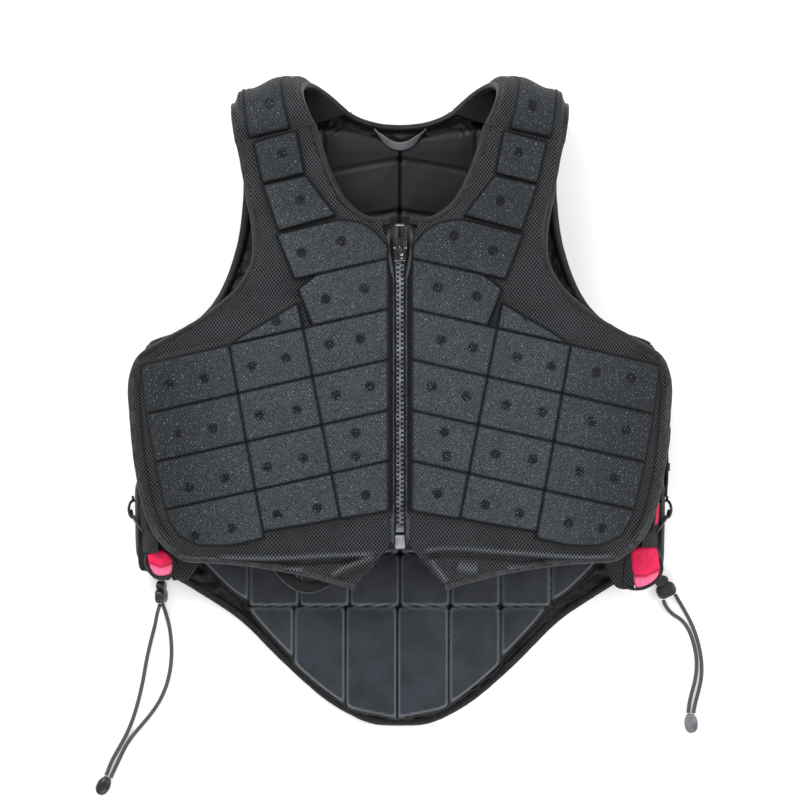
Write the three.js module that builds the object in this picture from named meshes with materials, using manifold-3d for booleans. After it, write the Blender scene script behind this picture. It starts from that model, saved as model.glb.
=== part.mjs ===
// Equestrian body protector lying on its back, as it rests when it is laid down.
// Millimetres. +X is the wearer's left, +Y runs from the tail to the neck, +Z is up from the surface.
// The origin is on the surface, under the middle of the garment's box.
// Front and back are layers over the surface, so a point of either is a plan place and a height.

import * as THREE from "three";
import { mergeVertices } from "three/addons/utils/BufferGeometryUtils.js";
import Module from "manifold-3d";

const wasm = await Module();
wasm.setup();

// Whole garment
const BODY_LENGTH = 608; // shoulder fold to tail tip
const HALF_WIDTH = 250; // centre line to the side of the front
const CREST_HEIGHT = 92; // middle layer of the front above the surface, at the breast
const SIDE_DROP = 34; // how far the front falls from the centre line to its side
const SIDE_DROP_POWER = 2.6;
const BACK_FLAT_HALF = 130; // half width of the back that lies flat
const SIDE_RISE = 18; // how far the back's side edge lifts

// Layers
const CLEARANCE = 0.3; // between pieces that lie against each other
const SEAT = 0.4; // the same, where one of them is curved
const FRONT_SHEET = 5; // mesh, lining and spacer between the front's foam blocks
const FRONT_FOAM = 20;
const BACK_SHEET = 3;
const BACK_FOAM = 16;
const GROOVE = 3.4; // between neighbouring blocks
const CHAMFER = 2.4; // on the edges of a block
const BINDING_WIDTH = 6;
const BINDING_HEIGHT = 7;

// Zip
const ZIP_OPENING_HALF = 9.5; // centre line to the front's edge
const ZIP_MARGIN = 5.5; // front's edge to its first blocks
const TAPE_OVERLAP = 6.4; // tape under the front's edge
const TAPE = 1.6;
const CHAIN_WIDTH = 7.4;
const CHAIN = 2.6;
const TAPE_SPLIT = 1.2; // between the two tapes
const ZIP_GAP = 0.8; // between sheet, tape, chain and slider, which bend together
const CHAIN_ABOVE_FOOT = 16.5; // from the foot of the zip opening to the chain
const SLIDER_BELOW_HEAD = 30.85; // from the head of the zip opening to the slider's middle
const SLIDER_PAST_CHAIN = 11; // from the chain's head to the slider's middle
const SLIDER_WIDTH = 13;
const SLIDER_LENGTH = 20;
const SLIDER_HEIGHT = 5;
const CROWN_WIDTH = 3; // the slider's arch, which holds the pull
const CROWN_LENGTH = 11;
const CROWN_HEIGHT = 4.6;
const CROWN_HOLE = 5;
const PULL_WIDTH = 12;
const PULL_LENGTH = 23;
const PULL_ARM = 9;
const PULL = 2;
const BOX_WIDTH = 9.5;
const BOX_LENGTH = 12.5;
const BOX_HEIGHT = 4.6;

// Sides
const GUSSET_WALL = 3;
const GUSSET_GAP = 1.5; // between the gusset and the foam above and the sheet below
const WEBBING = 1.6;
const WEBBING_TOP = -92; // ends of the waist webbing's width along the body
const WEBBING_FOOT = -119;
const RING_RADIUS = 8;
const RING_WIRE = 1.3;
const RING_CENTRE = [248.8, -98, 30];
const TAB = 9; // padded tab at the hem corner
const TAB_Z = 31.9;
const LACE_DIAMETER = 3.6;
const LACE_SIDES = 5;
const CORD_SIDES = 8;
const LOCK_WIDTH = 19;
const LOCK_LENGTH = 14;
const LOCK_PLUNGER = 7.8;
const LOCK_HEIGHT = 9;
const LOCK_BUTTON = 12.5;
const CORD_END_WIDTH = 13;
const CORD_END_LENGTH = 18;
const CORD_END_HEIGHT = 8;

// Neck
const RIBBON_WIDTH = 8;
const RIBBON = 1;
const LABEL_WIDTH = 16;
const LABEL_LENGTH = 9;
const LABEL = 1;
const LABEL_Y = 251;

// Outlines of the wearer's left half. out is a share of HALF_WIDTH, down a share of BODY_LENGTH from the
// shoulder fold.
const FLAP_CORNER = { out: 0.165, down: 0.781 };
const ZIP_FOOT_DOWN = 0.713;
const ZIP_HEAD_DOWN = 0.219;
const FRONT_NECK = [
  { out: 0.112, down: 0.219 },
  { out: 0.185, down: 0.198 },
  { out: 0.239, down: 0.16 },
  { out: 0.282, down: 0.1135 },
  { out: 0.304, down: 0.082 },
];
const FRONT_SIDE = [
  { out: 0.791, down: 0.74 },
  { out: 0.883, down: 0.71 },
  { out: 0.942, down: 0.664 },
  { out: 0.979, down: 0.589 },
  { out: 0.998, down: 0.51 },
  { out: 1.0, down: 0.4645 },
  { out: 0.965, down: 0.427 },
  { out: 0.874, down: 0.403 },
  { out: 0.742, down: 0.373 },
  { out: 0.648, down: 0.345 },
  { out: 0.582, down: 0.318 },
  { out: 0.542, down: 0.284 },
  { out: 0.539, down: 0.243 },
  { out: 0.562, down: 0.191 },
  { out: 0.592, down: 0.124 },
  { out: 0.606, down: 0.104 },
];
const HEM_BOW = 0.0115; // share of BODY_LENGTH that the hem rises in its middle
const BACK_NECK = [
  { out: 0, down: 0.0664 },
  { out: 0.06, down: 0.0652 },
  { out: 0.12, down: 0.0603 },
  { out: 0.18, down: 0.0512 },
];
const TAIL_FOOT = [
  { out: 0, down: 1.0 },
  { out: 0.09, down: 0.998 },
  { out: 0.18, down: 0.986 },
];
const BACK_SIDE = [
  { out: 0.18, down: 0.986 },
  { out: 0.3, down: 0.954 },
  { out: 0.451, down: 0.8984 },
  { out: 0.6, down: 0.8377 },
  { out: 0.768, down: 0.7903 },
  { out: 0.895, down: 0.7582 },
  { out: 0.966, down: 0.73 },
  { out: 0.974, down: 0.666 },
  { out: 0.974, down: 0.56 },
  { out: 0.97, down: 0.45 },
  { out: 0.945, down: 0.407 },
  { out: 0.825, down: 0.386 },
  { out: 0.722, down: 0.3523 },
  { out: 0.657, down: 0.306 },
  { out: 0.61, down: 0.244 },
  { out: 0.592, down: 0.1822 },
  { out: 0.59, down: 0.14 },
  { out: 0.595, down: 0.105 },
];

// Height of the front's middle layer along the body, as a share of CREST_HEIGHT.
const FRONT_CREST = [
  { down: 0.08, height: 0.85 },
  { down: 0.32, height: 1.0 },
  { down: 0.56, height: 1.0 },
  { down: 0.7, height: 0.93 },
  { down: 0.79, height: 0.76 },
];

// Shoulder fold across the strap: how far down its crest lies and how thick it is, as a share of the foam.
const SHOULDER_ACROSS = [
  { across: 0, down: 0.008, thick: 0.4 },
  { across: 0.08, down: 0.0, thick: 0.62 },
  { across: 0.28, down: 0.001, thick: 0.66 },
  { across: 0.33, down: 0.002, thick: 0.9 },
  { across: 0.8, down: 0.02, thick: 0.9 },
  { across: 0.86, down: 0.0245, thick: 0.66 },
  { across: 0.94, down: 0.032, thick: 0.6 },
  { across: 1, down: 0.0485, thick: 0.4 },
];
const SHOULDER_TOP_INNER = 0.341;
const SHOULDER_TOP_OUTER = 0.626;

// Front foam: where it lies, the seams between its columns and rows, and the two blocks of the strap.
const FOAM_AREA = [
  { out: 0.06, down: 0.659 },
  { out: 0.245, down: 0.673 },
  { out: 0.49, down: 0.7 },
  { out: 0.6, down: 0.712 },
  { out: 0.73, down: 0.712 },
  { out: 0.81, down: 0.698 },
  { out: 0.85, down: 0.671 },
  { out: 0.9, down: 0.58 },
  { out: 0.935, down: 0.5 },
  { out: 0.952, down: 0.439 },
  { out: 0.632, down: 0.412 },
  { out: 0.59, down: 0.402 },
  { out: 0.37, down: 0.329 },
  { out: 0.387, down: 0.3115 },
  { out: 0.449, down: 0.247 },
  { out: 0.224, down: 0.2245 },
  { out: 0.145, down: 0.229 },
  { out: 0.087, down: 0.25 },
  { out: 0.06, down: 0.281 },
];
const INNER_SEAM = [
  { out: 0.387, down: 0.3115 },
  { out: 0.217, down: 0.669 },
];
const OUTER_SEAM = [
  { out: 0.622, down: 0.408 },
  { out: 0.49, down: 0.7084 },
];
const FIRST_ROW_DOWN = 0.285; // at the zip
const ROW_STEP = 0.0752;
const ROW_SLOPE = 0.223; // the rows fall towards the side
const FRONT_COLUMNS = [
  { name: "inner", first: -1, rows: 6 },
  { name: "middle", first: 0, rows: 5 },
  { name: "outer", first: 1, rows: 4 },
];
const STRAP_BLOCKS = [
  [
    { out: 0.535, down: 0.107 },
    { out: 0.378, down: 0.09 },
    { out: 0.346, down: 0.155 },
    { out: 0.5, down: 0.17 },
  ],
  [
    { out: 0.5, down: 0.172 },
    { out: 0.344, down: 0.158 },
    { out: 0.232, down: 0.219 },
    { out: 0.441, down: 0.242 },
  ],
];

// Back foam rows from the neck to the tail: top edge at the centre line, slope towards the side, block width.
// The front covers the plainer rows.
const BACK_FOAM_ROWS = [
  { down: 0.083, slope: -0.16, width: 0.288 },
  { down: 0.1218, slope: 0.2, width: 0.288 },
  { down: 0.2019, slope: 0.18, width: 0.288 },
  { down: 0.2805, slope: 0.15, width: 0.43, covered: true },
  { down: 0.4377, slope: 0.05, width: 0.43, covered: true },
  { down: 0.5826, slope: 0, width: 0.43, covered: true },
  { down: 0.6566, slope: 0, width: 0.189 },
  { down: 0.7305, slope: 0, width: 0.189 },
  { down: 0.8045, slope: 0, width: 0.194 },
];
const BACK_FOAM_END = 1.0;
const BACK_FOAM_MARGIN = 10; // between the binding and the foam
const BACK_FOAM_SIDE = 0.86; // the foam stops there, clear of the gusset

// Side gusset along the body: its inner edge and how far it reaches out.
const GUSSET_ROWS = [
  { down: 0.45, inner: 0.9, reach: 0.958 },
  { down: 0.51, inner: 0.9, reach: 0.962 },
  { down: 0.57, inner: 0.9, reach: 0.964 },
  { down: 0.63, inner: 0.89, reach: 0.964 },
  { down: 0.67, inner: 0.88, reach: 0.963 },
  { down: 0.698, inner: 0.875, reach: 0.95 },
];

// Padded tab at the hem corner, and the mesh end beside it: hand-chosen corners in millimetres.
const TAB_CORNERS = [
  [216, -133.5],
  [240.2, -134.4],
  [243.8, -151.3],
  [243.8, -158],
  [239.2, -165.4],
  [227, -171.4],
  [219, -169.6],
];
const TAB_END_CORNERS = [
  [215.4, -136],
  [218.4, -169.4],
  [212, -172.6],
  [203, -171.6],
  [198, -165.6],
  [191, -150],
  [192, -137],
];
const HARDWARE_HALF_WIDTH = 250; // half width that the side hardware's points are measured on
const TAB_SHIFT = { l: [0, 0], r: [-5.5, 8.5] }; // towards the side and towards the neck

// Lace over the gusset, from the breast to the cord lock: hand-chosen points, wearer's left, in millimetres.
const LACE_ROUTE = [
  [240.8, 22, 46],
  [244.0, 14, 37],
  [240.8, 4, 28],
  [244.0, -8, 37],
  [240.8, -20, 46],
  [244.2, -32, 37],
  [240.8, -44, 28],
  [244.2, -56, 37],
  [240.8, -66, 45],
  [244.4, -78, 38],
  [245.2, -90, 33],
  [245.3, -104, 31],
  [245.2, -118, 30],
  [245.2, -130, 27],
];
const LACE_END = {
  l: [
    [245.4, -142, 23],
    [245.4, -152, 14.5],
    [244.9, -161.0, 6.2],
  ],
  r: [
    [244.8, -141, 21],
    [240.0, -150, 15],
    [232.4, -158, 12],
    [226.4, -164.8, 11],
  ],
};

// Free cord ends: hand-chosen points from the lock to the cord end, in millimetres, for each side.
const CORDS = {
  l: {
    lock: { x: 249.4, y: -172.2, z: 4.9, turn: 25.5, roll: 0 },
    end: { x: 274.8, y: -301.4, z: 4.3, turn: 5 },
    strands: [
      [
        [259.8, -180.1, 4.8],
        [264.0, -187.0, 2.6],
        [269.8, -196.8, 2.0],
        [275.9, -208.8, 2.0],
        [280.5, -221.4, 2.0],
        [283.7, -234.8, 2.0],
        [285.1, -247.2, 2.0],
        [284.5, -260.2, 2.0],
        [281.9, -272.6, 2.0],
        [279.4, -281.6, 2.6],
        [277.0, -291.8, 4.2],
      ],
      [
        [248.6, -185.6, 4.8],
        [251.8, -192.0, 2.8],
        [257.6, -198.4, 2.0],
        [264.8, -203.2, 2.0],
        [270.5, -209.6, 2.0],
        [274.6, -217.6, 2.0],
        [277.8, -227.8, 2.0],
        [279.9, -238.6, 2.0],
        [280.2, -250.8, 2.0],
        [278.4, -263.0, 2.0],
        [275.4, -274.4, 2.0],
        [273.4, -282.8, 2.6],
        [272.2, -291.8, 4.2],
      ],
    ],
  },
  r: {
    lock: { x: -224.7, y: -176.8, z: 10.6, turn: 0, roll: 80 },
    end: { x: -280.0, y: -360.4, z: 4.3, turn: -29 },
    strands: [
      [
        [-225.8, -188.9, 15.0],
        [-228.6, -197.0, 9.4],
        [-231.2, -208.0, 4.4],
        [-235.2, -223.0, 2.0],
        [-239.3, -241.0, 2.0],
        [-243.1, -262.0, 2.0],
        [-247.1, -279.6, 2.0],
        [-252.1, -296.4, 2.0],
        [-258.3, -311.6, 2.0],
        [-265.4, -324.8, 2.0],
        [-272.4, -337.6, 2.4],
        [-277.5, -350.8, 4.2],
      ],
      [
        [-224.0, -188.4, 6.4],
        [-221.4, -197.0, 3.4],
        [-218.4, -208.6, 2.0],
        [-216.5, -222.0, 2.0],
        [-216.0, -237.0, 2.0],
        [-217.6, -253.0, 2.0],
        [-221.4, -267.6, 2.0],
        [-227.6, -281.2, 2.0],
        [-235.8, -293.4, 2.0],
        [-244.8, -304.2, 2.0],
        [-252.6, -313.6, 2.0],
        [-259.4, -323.8, 2.0],
        [-265.6, -336.4, 2.4],
        [-273.3, -353.1, 4.2],
      ],
    ],
  },
};

const BLACK_MESH = { color: 0x2a2d30, roughness: 0.85, metalness: 0 };
const FOAM_SKIN = { color: 0x2b2f36, roughness: 0.6, metalness: 0 };
const BLACK_BINDING = { color: 0x1d1f21, roughness: 0.7, metalness: 0 };
const PINK_FABRIC = { color: 0xe8245c, roughness: 0.6, metalness: 0 };
const BLACK_WEBBING = { color: 0x1c1e1f, roughness: 0.8, metalness: 0 };
const BLACK_PLASTIC = { color: 0x26282a, roughness: 0.4, metalness: 0 };
const GREY_METAL = { color: 0x8c9092, roughness: 0.35, metalness: 0.8 };
const GREY_SATIN = { color: 0x7c7f84, roughness: 0.4, metalness: 0 };
const ELASTIC_CORD = { color: 0x3a3d3e, roughness: 0.8, metalness: 0 };

// Small helpers

const lerp = THREE.MathUtils.lerp;
const clamp = THREE.MathUtils.clamp;
const yAt = (down) => BODY_LENGTH * (0.5 - down);
const place = ({ out, down }) => new THREE.Vector2(out * HALF_WIDTH, yAt(down));

// A value read from a table whose rows are ordered by one column, eased between the rows.
function tabled(table, by, value, at) {
  if (at <= table[0][by]) return table[0][value];
  for (let i = 1; i < table.length; i++) {
    const low = table[i - 1];
    const high = table[i];
    if (at <= high[by]) {
      const t = THREE.MathUtils.smoothstep(at, low[by], high[by]);
      return lerp(low[value], high[value], t);
    }
  }
  return table[table.length - 1][value];
}

// Height of the front's middle layer, and of the back's outer face, over a plan place.
function frontHeight(x, y) {
  const out = Math.abs(x) / HALF_WIDTH;
  const crest = tabled(FRONT_CREST, "down", "height", 0.5 - y / BODY_LENGTH);
  return CREST_HEIGHT * crest - SIDE_DROP * out ** SIDE_DROP_POWER;
}

function backHeight(x) {
  const t = clamp((Math.abs(x) - BACK_FLAT_HALF) / (HALF_WIDTH - BACK_FLAT_HALF), 0, 1);
  return SIDE_RISE * t * t;
}

// A closed solid from vertices and triangles, turned so that its faces point out.
function solidOf(vertices, triangles) {
  const geometry = new THREE.BufferGeometry();
  geometry.setAttribute("position", new THREE.Float32BufferAttribute(vertices.flatMap((v) => v.toArray()), 3));
  geometry.setIndex(triangles.flat());
  return outward(geometry);
}

function outward(geometry) {
  const p = geometry.attributes.position;
  const index = geometry.index;
  const [a, b, c] = [new THREE.Vector3(), new THREE.Vector3(), new THREE.Vector3()];
  let volume = 0;
  for (let i = 0; i < index.count; i += 3) {
    a.fromBufferAttribute(p, index.getX(i));
    b.fromBufferAttribute(p, index.getX(i + 1));
    c.fromBufferAttribute(p, index.getX(i + 2));
    volume += a.dot(b.cross(c));
  }
  if (volume < 0)
    for (let i = 0; i < index.count; i += 3) {
      const second = index.getX(i + 1);
      index.setX(i + 1, index.getX(i + 2));
      index.setX(i + 2, second);
    }
  return geometry;
}

function toManifold(geometry) {
  const bare = geometry.clone();
  bare.deleteAttribute("normal");
  bare.deleteAttribute("uv");
  const merged = outward(mergeVertices(bare, 1e-4));
  return new wasm.Manifold(
    new wasm.Mesh({
      numProp: 3,
      vertProperties: new Float32Array(merged.attributes.position.array),
      triVerts: new Uint32Array(merged.index.array),
    }),
  );
}

function toGeometry(manifold) {
  const mesh = manifold.getMesh();
  const positions = new Float32Array(mesh.numVert * 3);
  for (let i = 0; i < mesh.numVert; i++)
    positions.set(mesh.vertProperties.subarray(i * mesh.numProp, i * mesh.numProp + 3), i * 3);
  const geometry = new THREE.BufferGeometry();
  geometry.setAttribute("position", new THREE.BufferAttribute(positions, 3));
  geometry.setIndex(new THREE.BufferAttribute(new Uint32Array(mesh.triVerts), 1));
  return geometry;
}

const fuse = (geometries) => toGeometry(geometries.map(toManifold).reduce((whole, next) => whole.add(next)));
const mirrored = (geometry) => outward(geometry.clone().scale(-1, 1, 1));

// A solid between two layers of one grid: point(i, j, side) gives a corner, with side 1 above and 0 below.
function gridSolid(rows, columns, point) {
  const vertices = [];
  for (const side of [0, 1])
    for (let i = 0; i <= rows; i++) for (let j = 0; j <= columns; j++) vertices.push(point(i, j, side));
  const at = (i, j, side) => side * (rows + 1) * (columns + 1) + i * (columns + 1) + j;
  const triangles = [];
  const quad = (a, b, c, d) => triangles.push([a, b, c], [a, c, d]);
  for (let i = 0; i < rows; i++)
    for (let j = 0; j < columns; j++) {
      quad(at(i, j, 1), at(i, j + 1, 1), at(i + 1, j + 1, 1), at(i + 1, j, 1));
      quad(at(i, j, 0), at(i + 1, j, 0), at(i + 1, j + 1, 0), at(i, j + 1, 0));
    }
  for (let i = 0; i < rows; i++) {
    quad(at(i, 0, 1), at(i + 1, 0, 1), at(i + 1, 0, 0), at(i, 0, 0));
    quad(at(i, columns, 0), at(i + 1, columns, 0), at(i + 1, columns, 1), at(i, columns, 1));
  }
  for (let j = 0; j < columns; j++) {
    quad(at(0, j, 0), at(0, j + 1, 0), at(0, j + 1, 1), at(0, j, 1));
    quad(at(rows, j, 1), at(rows, j + 1, 1), at(rows, j + 1, 0), at(rows, j, 0));
  }
  return solidOf(vertices, triangles);
}

// A solid that stacks plan outlines with equal point counts, each at its own height over a surface.
function stackSolid(layers, lift) {
  const count = layers[0].outline.length;
  const vertices = layers.flatMap(({ outline, height }) =>
    outline.map((p) => new THREE.Vector3(p.x, p.y, lift(p.x, p.y) + height)),
  );
  const triangles = [];
  for (let k = 0; k + 1 < layers.length; k++)
    for (let i = 0; i < count; i++) {
      const a = k * count + i;
      const b = k * count + ((i + 1) % count);
      triangles.push([a, b, b + count], [a, b + count, a + count]);
    }
  const topStart = (layers.length - 1) * count;
  const middle = (start) =>
    vertices
      .slice(start, start + count)
      .reduce((sum, v) => sum.add(v), new THREE.Vector3())
      .divideScalar(count);
  vertices.push(middle(0), middle(topStart));
  for (let i = 0; i < count; i++) {
    const next = (i + 1) % count;
    triangles.push([next, i, vertices.length - 2], [topStart + i, topStart + next, vertices.length - 1]);
  }
  return solidOf(vertices, triangles);
}

const SHORTEST_SIDE = 1.2; // of a block's outline

// The part of a polygon on the inner side of a line, given by a point on the line and its inward direction.
function clipped(polygon, point, inward) {
  const depth = (p) => (p.x - point.x) * inward.x + (p.y - point.y) * inward.y;
  const kept = [];
  polygon.forEach((p, i) => {
    const q = polygon[(i + 1) % polygon.length];
    const dp = depth(p);
    const dq = depth(q);
    if (dp >= 0) kept.push(p.clone());
    if (dp * dq < 0) kept.push(p.clone().lerp(q, dp / (dp - dq)));
  });
  const apart = kept.filter((p, i) => p.distanceTo(kept[(i + 1) % kept.length]) > SHORTEST_SIDE);
  const corner = (p, i) => {
    const a = apart[(i + apart.length - 1) % apart.length];
    const b = apart[(i + 1) % apart.length];
    return Math.abs(b.clone().sub(a).cross(p.clone().sub(a))) > 0.3 * b.distanceTo(a);
  };
  return apart.filter(corner);
}

// A polygon, counterclockwise, with each side moved in by a distance.
function shrunk(polygon, distance) {
  const turned = THREE.ShapeUtils.area(polygon) < 0 ? [...polygon].reverse() : polygon;
  return turned.map((p, i) => {
    const before = p.clone().sub(turned[(i + turned.length - 1) % turned.length]).normalize();
    const after = turned[(i + 1) % turned.length].clone().sub(p).normalize();
    const n1 = new THREE.Vector2(-before.y, before.x);
    const n2 = new THREE.Vector2(-after.y, after.x);
    const reach = distance / Math.max(0.45, 1 + n1.dot(n2));
    return p.clone().add(n1.add(n2).multiplyScalar(reach));
  });
}

// A line of the plan moved sideways, to its left as it runs, by a distance.
function shifted(line, distance) {
  return line.map((p, i) => {
    const ahead = line[Math.min(i + 1, line.length - 1)];
    const behind = line[Math.max(i - 1, 0)];
    const along = ahead.clone().sub(behind).normalize();
    return p.clone().add(new THREE.Vector2(-along.y, along.x).multiplyScalar(distance));
  });
}

const curveThrough = (points) => new THREE.SplineCurve(points.map(place));
const straight = (from, to, steps) =>
  Array.from({ length: steps + 1 }, (_, i) => from.clone().lerp(to, i / steps));

// A bar that follows points in space, with a section given as offsets across and up.
function barAlong(points, section) {
  const last = points.length - 1;
  const heading = (i) => points[Math.min(i + 1, last)].clone().sub(points[Math.max(i - 1, 0)]).normalize();
  const across = heading(0).cross(new THREE.Vector3(0, 0, 1)).normalize();
  const vertices = points.flatMap((p, i) => {
    const along = heading(i);
    across.addScaledVector(along, -across.dot(along)).normalize();
    const rise = across.clone().cross(along);
    return section.map(([a, b]) => p.clone().addScaledVector(across, a).addScaledVector(rise, b));
  });
  const n = section.length;
  const triangles = [];
  for (let i = 0; i < last; i++)
    for (let k = 0; k < n; k++) {
      const a = i * n + k;
      const b = i * n + ((k + 1) % n);
      triangles.push([a, b, b + n], [a, b + n, a + n]);
    }
  for (let k = 1; k + 1 < n; k++) triangles.push([0, k + 1, k], [last * n, last * n + k, last * n + k + 1]);
  return solidOf(vertices, triangles);
}

// The same points with both ends drawn back a little, so that neighbours in one line don't touch.
function trimmed(points) {
  const line = points.map((p) => p.clone());
  const draw = (end, next) => end.addScaledVector(next.clone().sub(end).normalize(), JOIN_TRIM);
  draw(line[0], line[1]);
  draw(line[line.length - 1], line[line.length - 2]);
  return line;
}

const ring = (count, radius) =>
  Array.from({ length: count }, (_, i) => {
    const turn = ((i + 0.5) / count) * 2 * Math.PI;
    return [radius * Math.cos(turn), radius * Math.sin(turn)];
  });
const slab = (width, height) => [
  [width / 2, -height / 2],
  [width / 2, height / 2],
  [-width / 2, height / 2],
  [-width / 2, -height / 2],
];

const BINDING_SECTION = [
  [BINDING_WIDTH / 2, -BINDING_HEIGHT / 4],
  [BINDING_WIDTH / 2, BINDING_HEIGHT / 4],
  [0, BINDING_HEIGHT / 2],
  [-BINDING_WIDTH / 2, BINDING_HEIGHT / 4],
  [-BINDING_WIDTH / 2, -BINDING_HEIGHT / 4],
  [0, -BINDING_HEIGHT / 2],
];

const group = new THREE.Group();

function add(name, geometry, look) {
  const mesh = new THREE.Mesh(geometry, new THREE.MeshStandardMaterial(look));
  mesh.name = name;
  group.add(mesh);
  return mesh;
}

// The piece for the wearer's left, and its mirror image for the right.
function addPair(name, geometry, look) {
  add(`${name}_l`, geometry, look);
  add(`${name}_r`, mirrored(geometry), look);
}

// Plan outlines of the left half

const FLAP_STEPS = 2;
const ZIP_STEPS = 12;
const NECK_STEPS = 8;
const FRONT_STEPS = FLAP_STEPS + ZIP_STEPS + NECK_STEPS;
const FRONT_ACROSS = [0, 0.035, 0.1, 0.4, 0.7, 0.92, 1]; // the sheet's lines, from its zip edge to its side edge
const EDGE_INSET = BINDING_WIDTH + CLEARANCE;
const CURVED_INSET = EDGE_INSET + CLEARANCE; // where the bound edge bends between its points
const JOIN_TRIM = 1.7; // taken off a binding's end where the next one starts around a bend

const zipFoot = new THREE.Vector2(ZIP_OPENING_HALF, yAt(ZIP_FOOT_DOWN));
const zipHead = new THREE.Vector2(ZIP_OPENING_HALF, yAt(ZIP_HEAD_DOWN));
const flapCorner = place(FLAP_CORNER);
const frontNeck = new THREE.SplineCurve([zipHead, ...FRONT_NECK.map(place)]).getSpacedPoints(NECK_STEPS);
const frontSide = curveThrough(FRONT_SIDE).getSpacedPoints(FRONT_STEPS);

// Inner and outer end of the lines where the shoulder strap meets the front and the back.
const strapEnds = {
  front: [place(FRONT_NECK[FRONT_NECK.length - 1]), place(FRONT_SIDE[FRONT_SIDE.length - 1])],
  back: [place(BACK_NECK[BACK_NECK.length - 1]), place(BACK_SIDE[BACK_SIDE.length - 1])],
};

function hemPoint(inner, outer, across, step) {
  const fade = Math.max(0, 1 - step / (FLAP_STEPS + 1));
  const p = inner.clone().lerp(outer, across);
  p.y += HEM_BOW * BODY_LENGTH * fade * 4 * across * (1 - across);
  return p;
}

// The front's sheet stops short of its outline by the binding, except along the zip and the flap. Under the
// foam blocks it goes down to the lining.
function frontSheet() {
  const neck = shifted(frontNeck, -CURVED_INSET);
  neck[0] = zipHead.clone().add(new THREE.Vector2(0, -EDGE_INSET));
  neck[1].x = Math.max(neck[1].x, zipHead.x + 1);
  const hemLift = new THREE.Vector2(0, CURVED_INSET + 2 * CLEARANCE);
  const inner = [
    ...straight(flapCorner.clone().add(hemLift), zipFoot, FLAP_STEPS),
    ...straight(zipFoot, neck[0], ZIP_STEPS).slice(1),
    ...neck.slice(1),
  ];
  const outer = shifted(frontSide, CURVED_INSET);
  outer[0].copy(frontSide[0]).add(hemLift);
  inner[FRONT_STEPS].copy(strapEnds.front[0]).x += EDGE_INSET;
  outer[FRONT_STEPS].copy(strapEnds.front[1]).x -= EDGE_INSET;
  const last = FRONT_ACROSS.length - 1;
  return gridSolid(FRONT_STEPS, last, (i, j, side) => {
    const p = hemPoint(inner[i], outer[i], FRONT_ACROSS[j], i);
    if (i === FRONT_STEPS) p.y -= CLEARANCE;
    const padded = i > FLAP_STEPS + 1 && i < FRONT_STEPS && j > 1 && j < last;
    const below = padded ? FRONT_FOAM / 2 : FRONT_SHEET / 2;
    return new THREE.Vector3(p.x, p.y, frontHeight(p.x, p.y) + (side ? FRONT_SHEET / 2 : -below));
  });
}

const rowLine = (row) => ({
  point: new THREE.Vector2(ZIP_OPENING_HALF + ZIP_MARGIN, yAt(FIRST_ROW_DOWN + row * ROW_STEP)),
  down: new THREE.Vector2(-ROW_SLOPE, -1).normalize(),
});

function seamLine(seam) {
  const [a, b] = seam.map(place);
  const along = b.clone().sub(a).normalize();
  return { point: a, out: new THREE.Vector2(-along.y, along.x) };
}

// A foam block of the front, rooted in the sheet, with chamfered edges on its outer face.
function frontBlock(outline) {
  const body = shrunk(outline, GROOVE / 2);
  const face = shrunk(body, CHAMFER);
  return stackSolid(
    [
      { outline: body, height: -FRONT_SHEET / 2 },
      { outline: body, height: FRONT_FOAM / 2 - CHAMFER },
      { outline: face, height: FRONT_FOAM / 2 },
    ],
    frontHeight,
  );
}

function frontBlocks() {
  const area = FOAM_AREA.map(place);
  const inner = seamLine(INNER_SEAM);
  const outer = seamLine(OUTER_SEAM);
  const back = (direction) => direction.clone().negate();
  const blocks = STRAP_BLOCKS.map((corners) => frontBlock(corners.map(place)));
  for (const column of FRONT_COLUMNS)
    for (let k = 0; k < column.rows; k++) {
      const row = column.first + k;
      const above = rowLine(row);
      const below = rowLine(row + 1);
      let outline = clipped(area, below.point, back(below.down));
      if (row >= 0) outline = clipped(outline, above.point, above.down);
      if (column.name === "inner" && row >= 0) outline = clipped(outline, inner.point, back(inner.out));
      if (column.name !== "inner") outline = clipped(outline, inner.point, inner.out);
      if (column.name === "middle") outline = clipped(outline, outer.point, back(outer.out));
      if (column.name === "outer") outline = clipped(outline, outer.point, outer.out);
      blocks.push(frontBlock(outline));
    }
  return blocks;
}

// Bindings and panels of the front

const over = (line, height) => line.map((p) => new THREE.Vector3(p.x, p.y, height(p.x, p.y)));
const flip = (points) => points.map((p) => p.clone().setX(-p.x));

const nearestTo = (line, target) =>
  line.reduce((best, p, i) => (p.distanceTo(target) < line[best].distanceTo(target) ? i : best), 0);
const frontUnderarm = nearestTo(frontSide, place({ out: 0.965, down: 0.427 }));
const frontEdge = shifted(frontSide, BINDING_WIDTH / 2);
frontEdge[0] = frontSide[0].clone().add(new THREE.Vector2(0, BINDING_WIDTH / 2));

function frontHemBinding() {
  const lift = new THREE.Vector2(0, BINDING_WIDTH / 2);
  const hem = FRONT_ACROSS.slice(0, -1).map((across) => hemPoint(flapCorner, frontSide[0], across, 0).add(lift));
  hem.splice(1, 1);
  const line = [...frontEdge.slice(0, frontUnderarm + 1).reverse(), ...hem.reverse()];
  return barAlong(trimmed(over(line, frontHeight)), BINDING_SECTION);
}

const frontNeckBinding = () =>
  barAlong(trimmed(over(shifted(frontNeck, -BINDING_WIDTH / 2), frontHeight)), BINDING_SECTION);

// Shoulder: a strap that folds from the front's top edge over to the back's.

const SHOULDER_STEPS = 8;
const SHOULDER_BACK_MIDDLE = 10.2; // height of its middle layer where it meets the back

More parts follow.
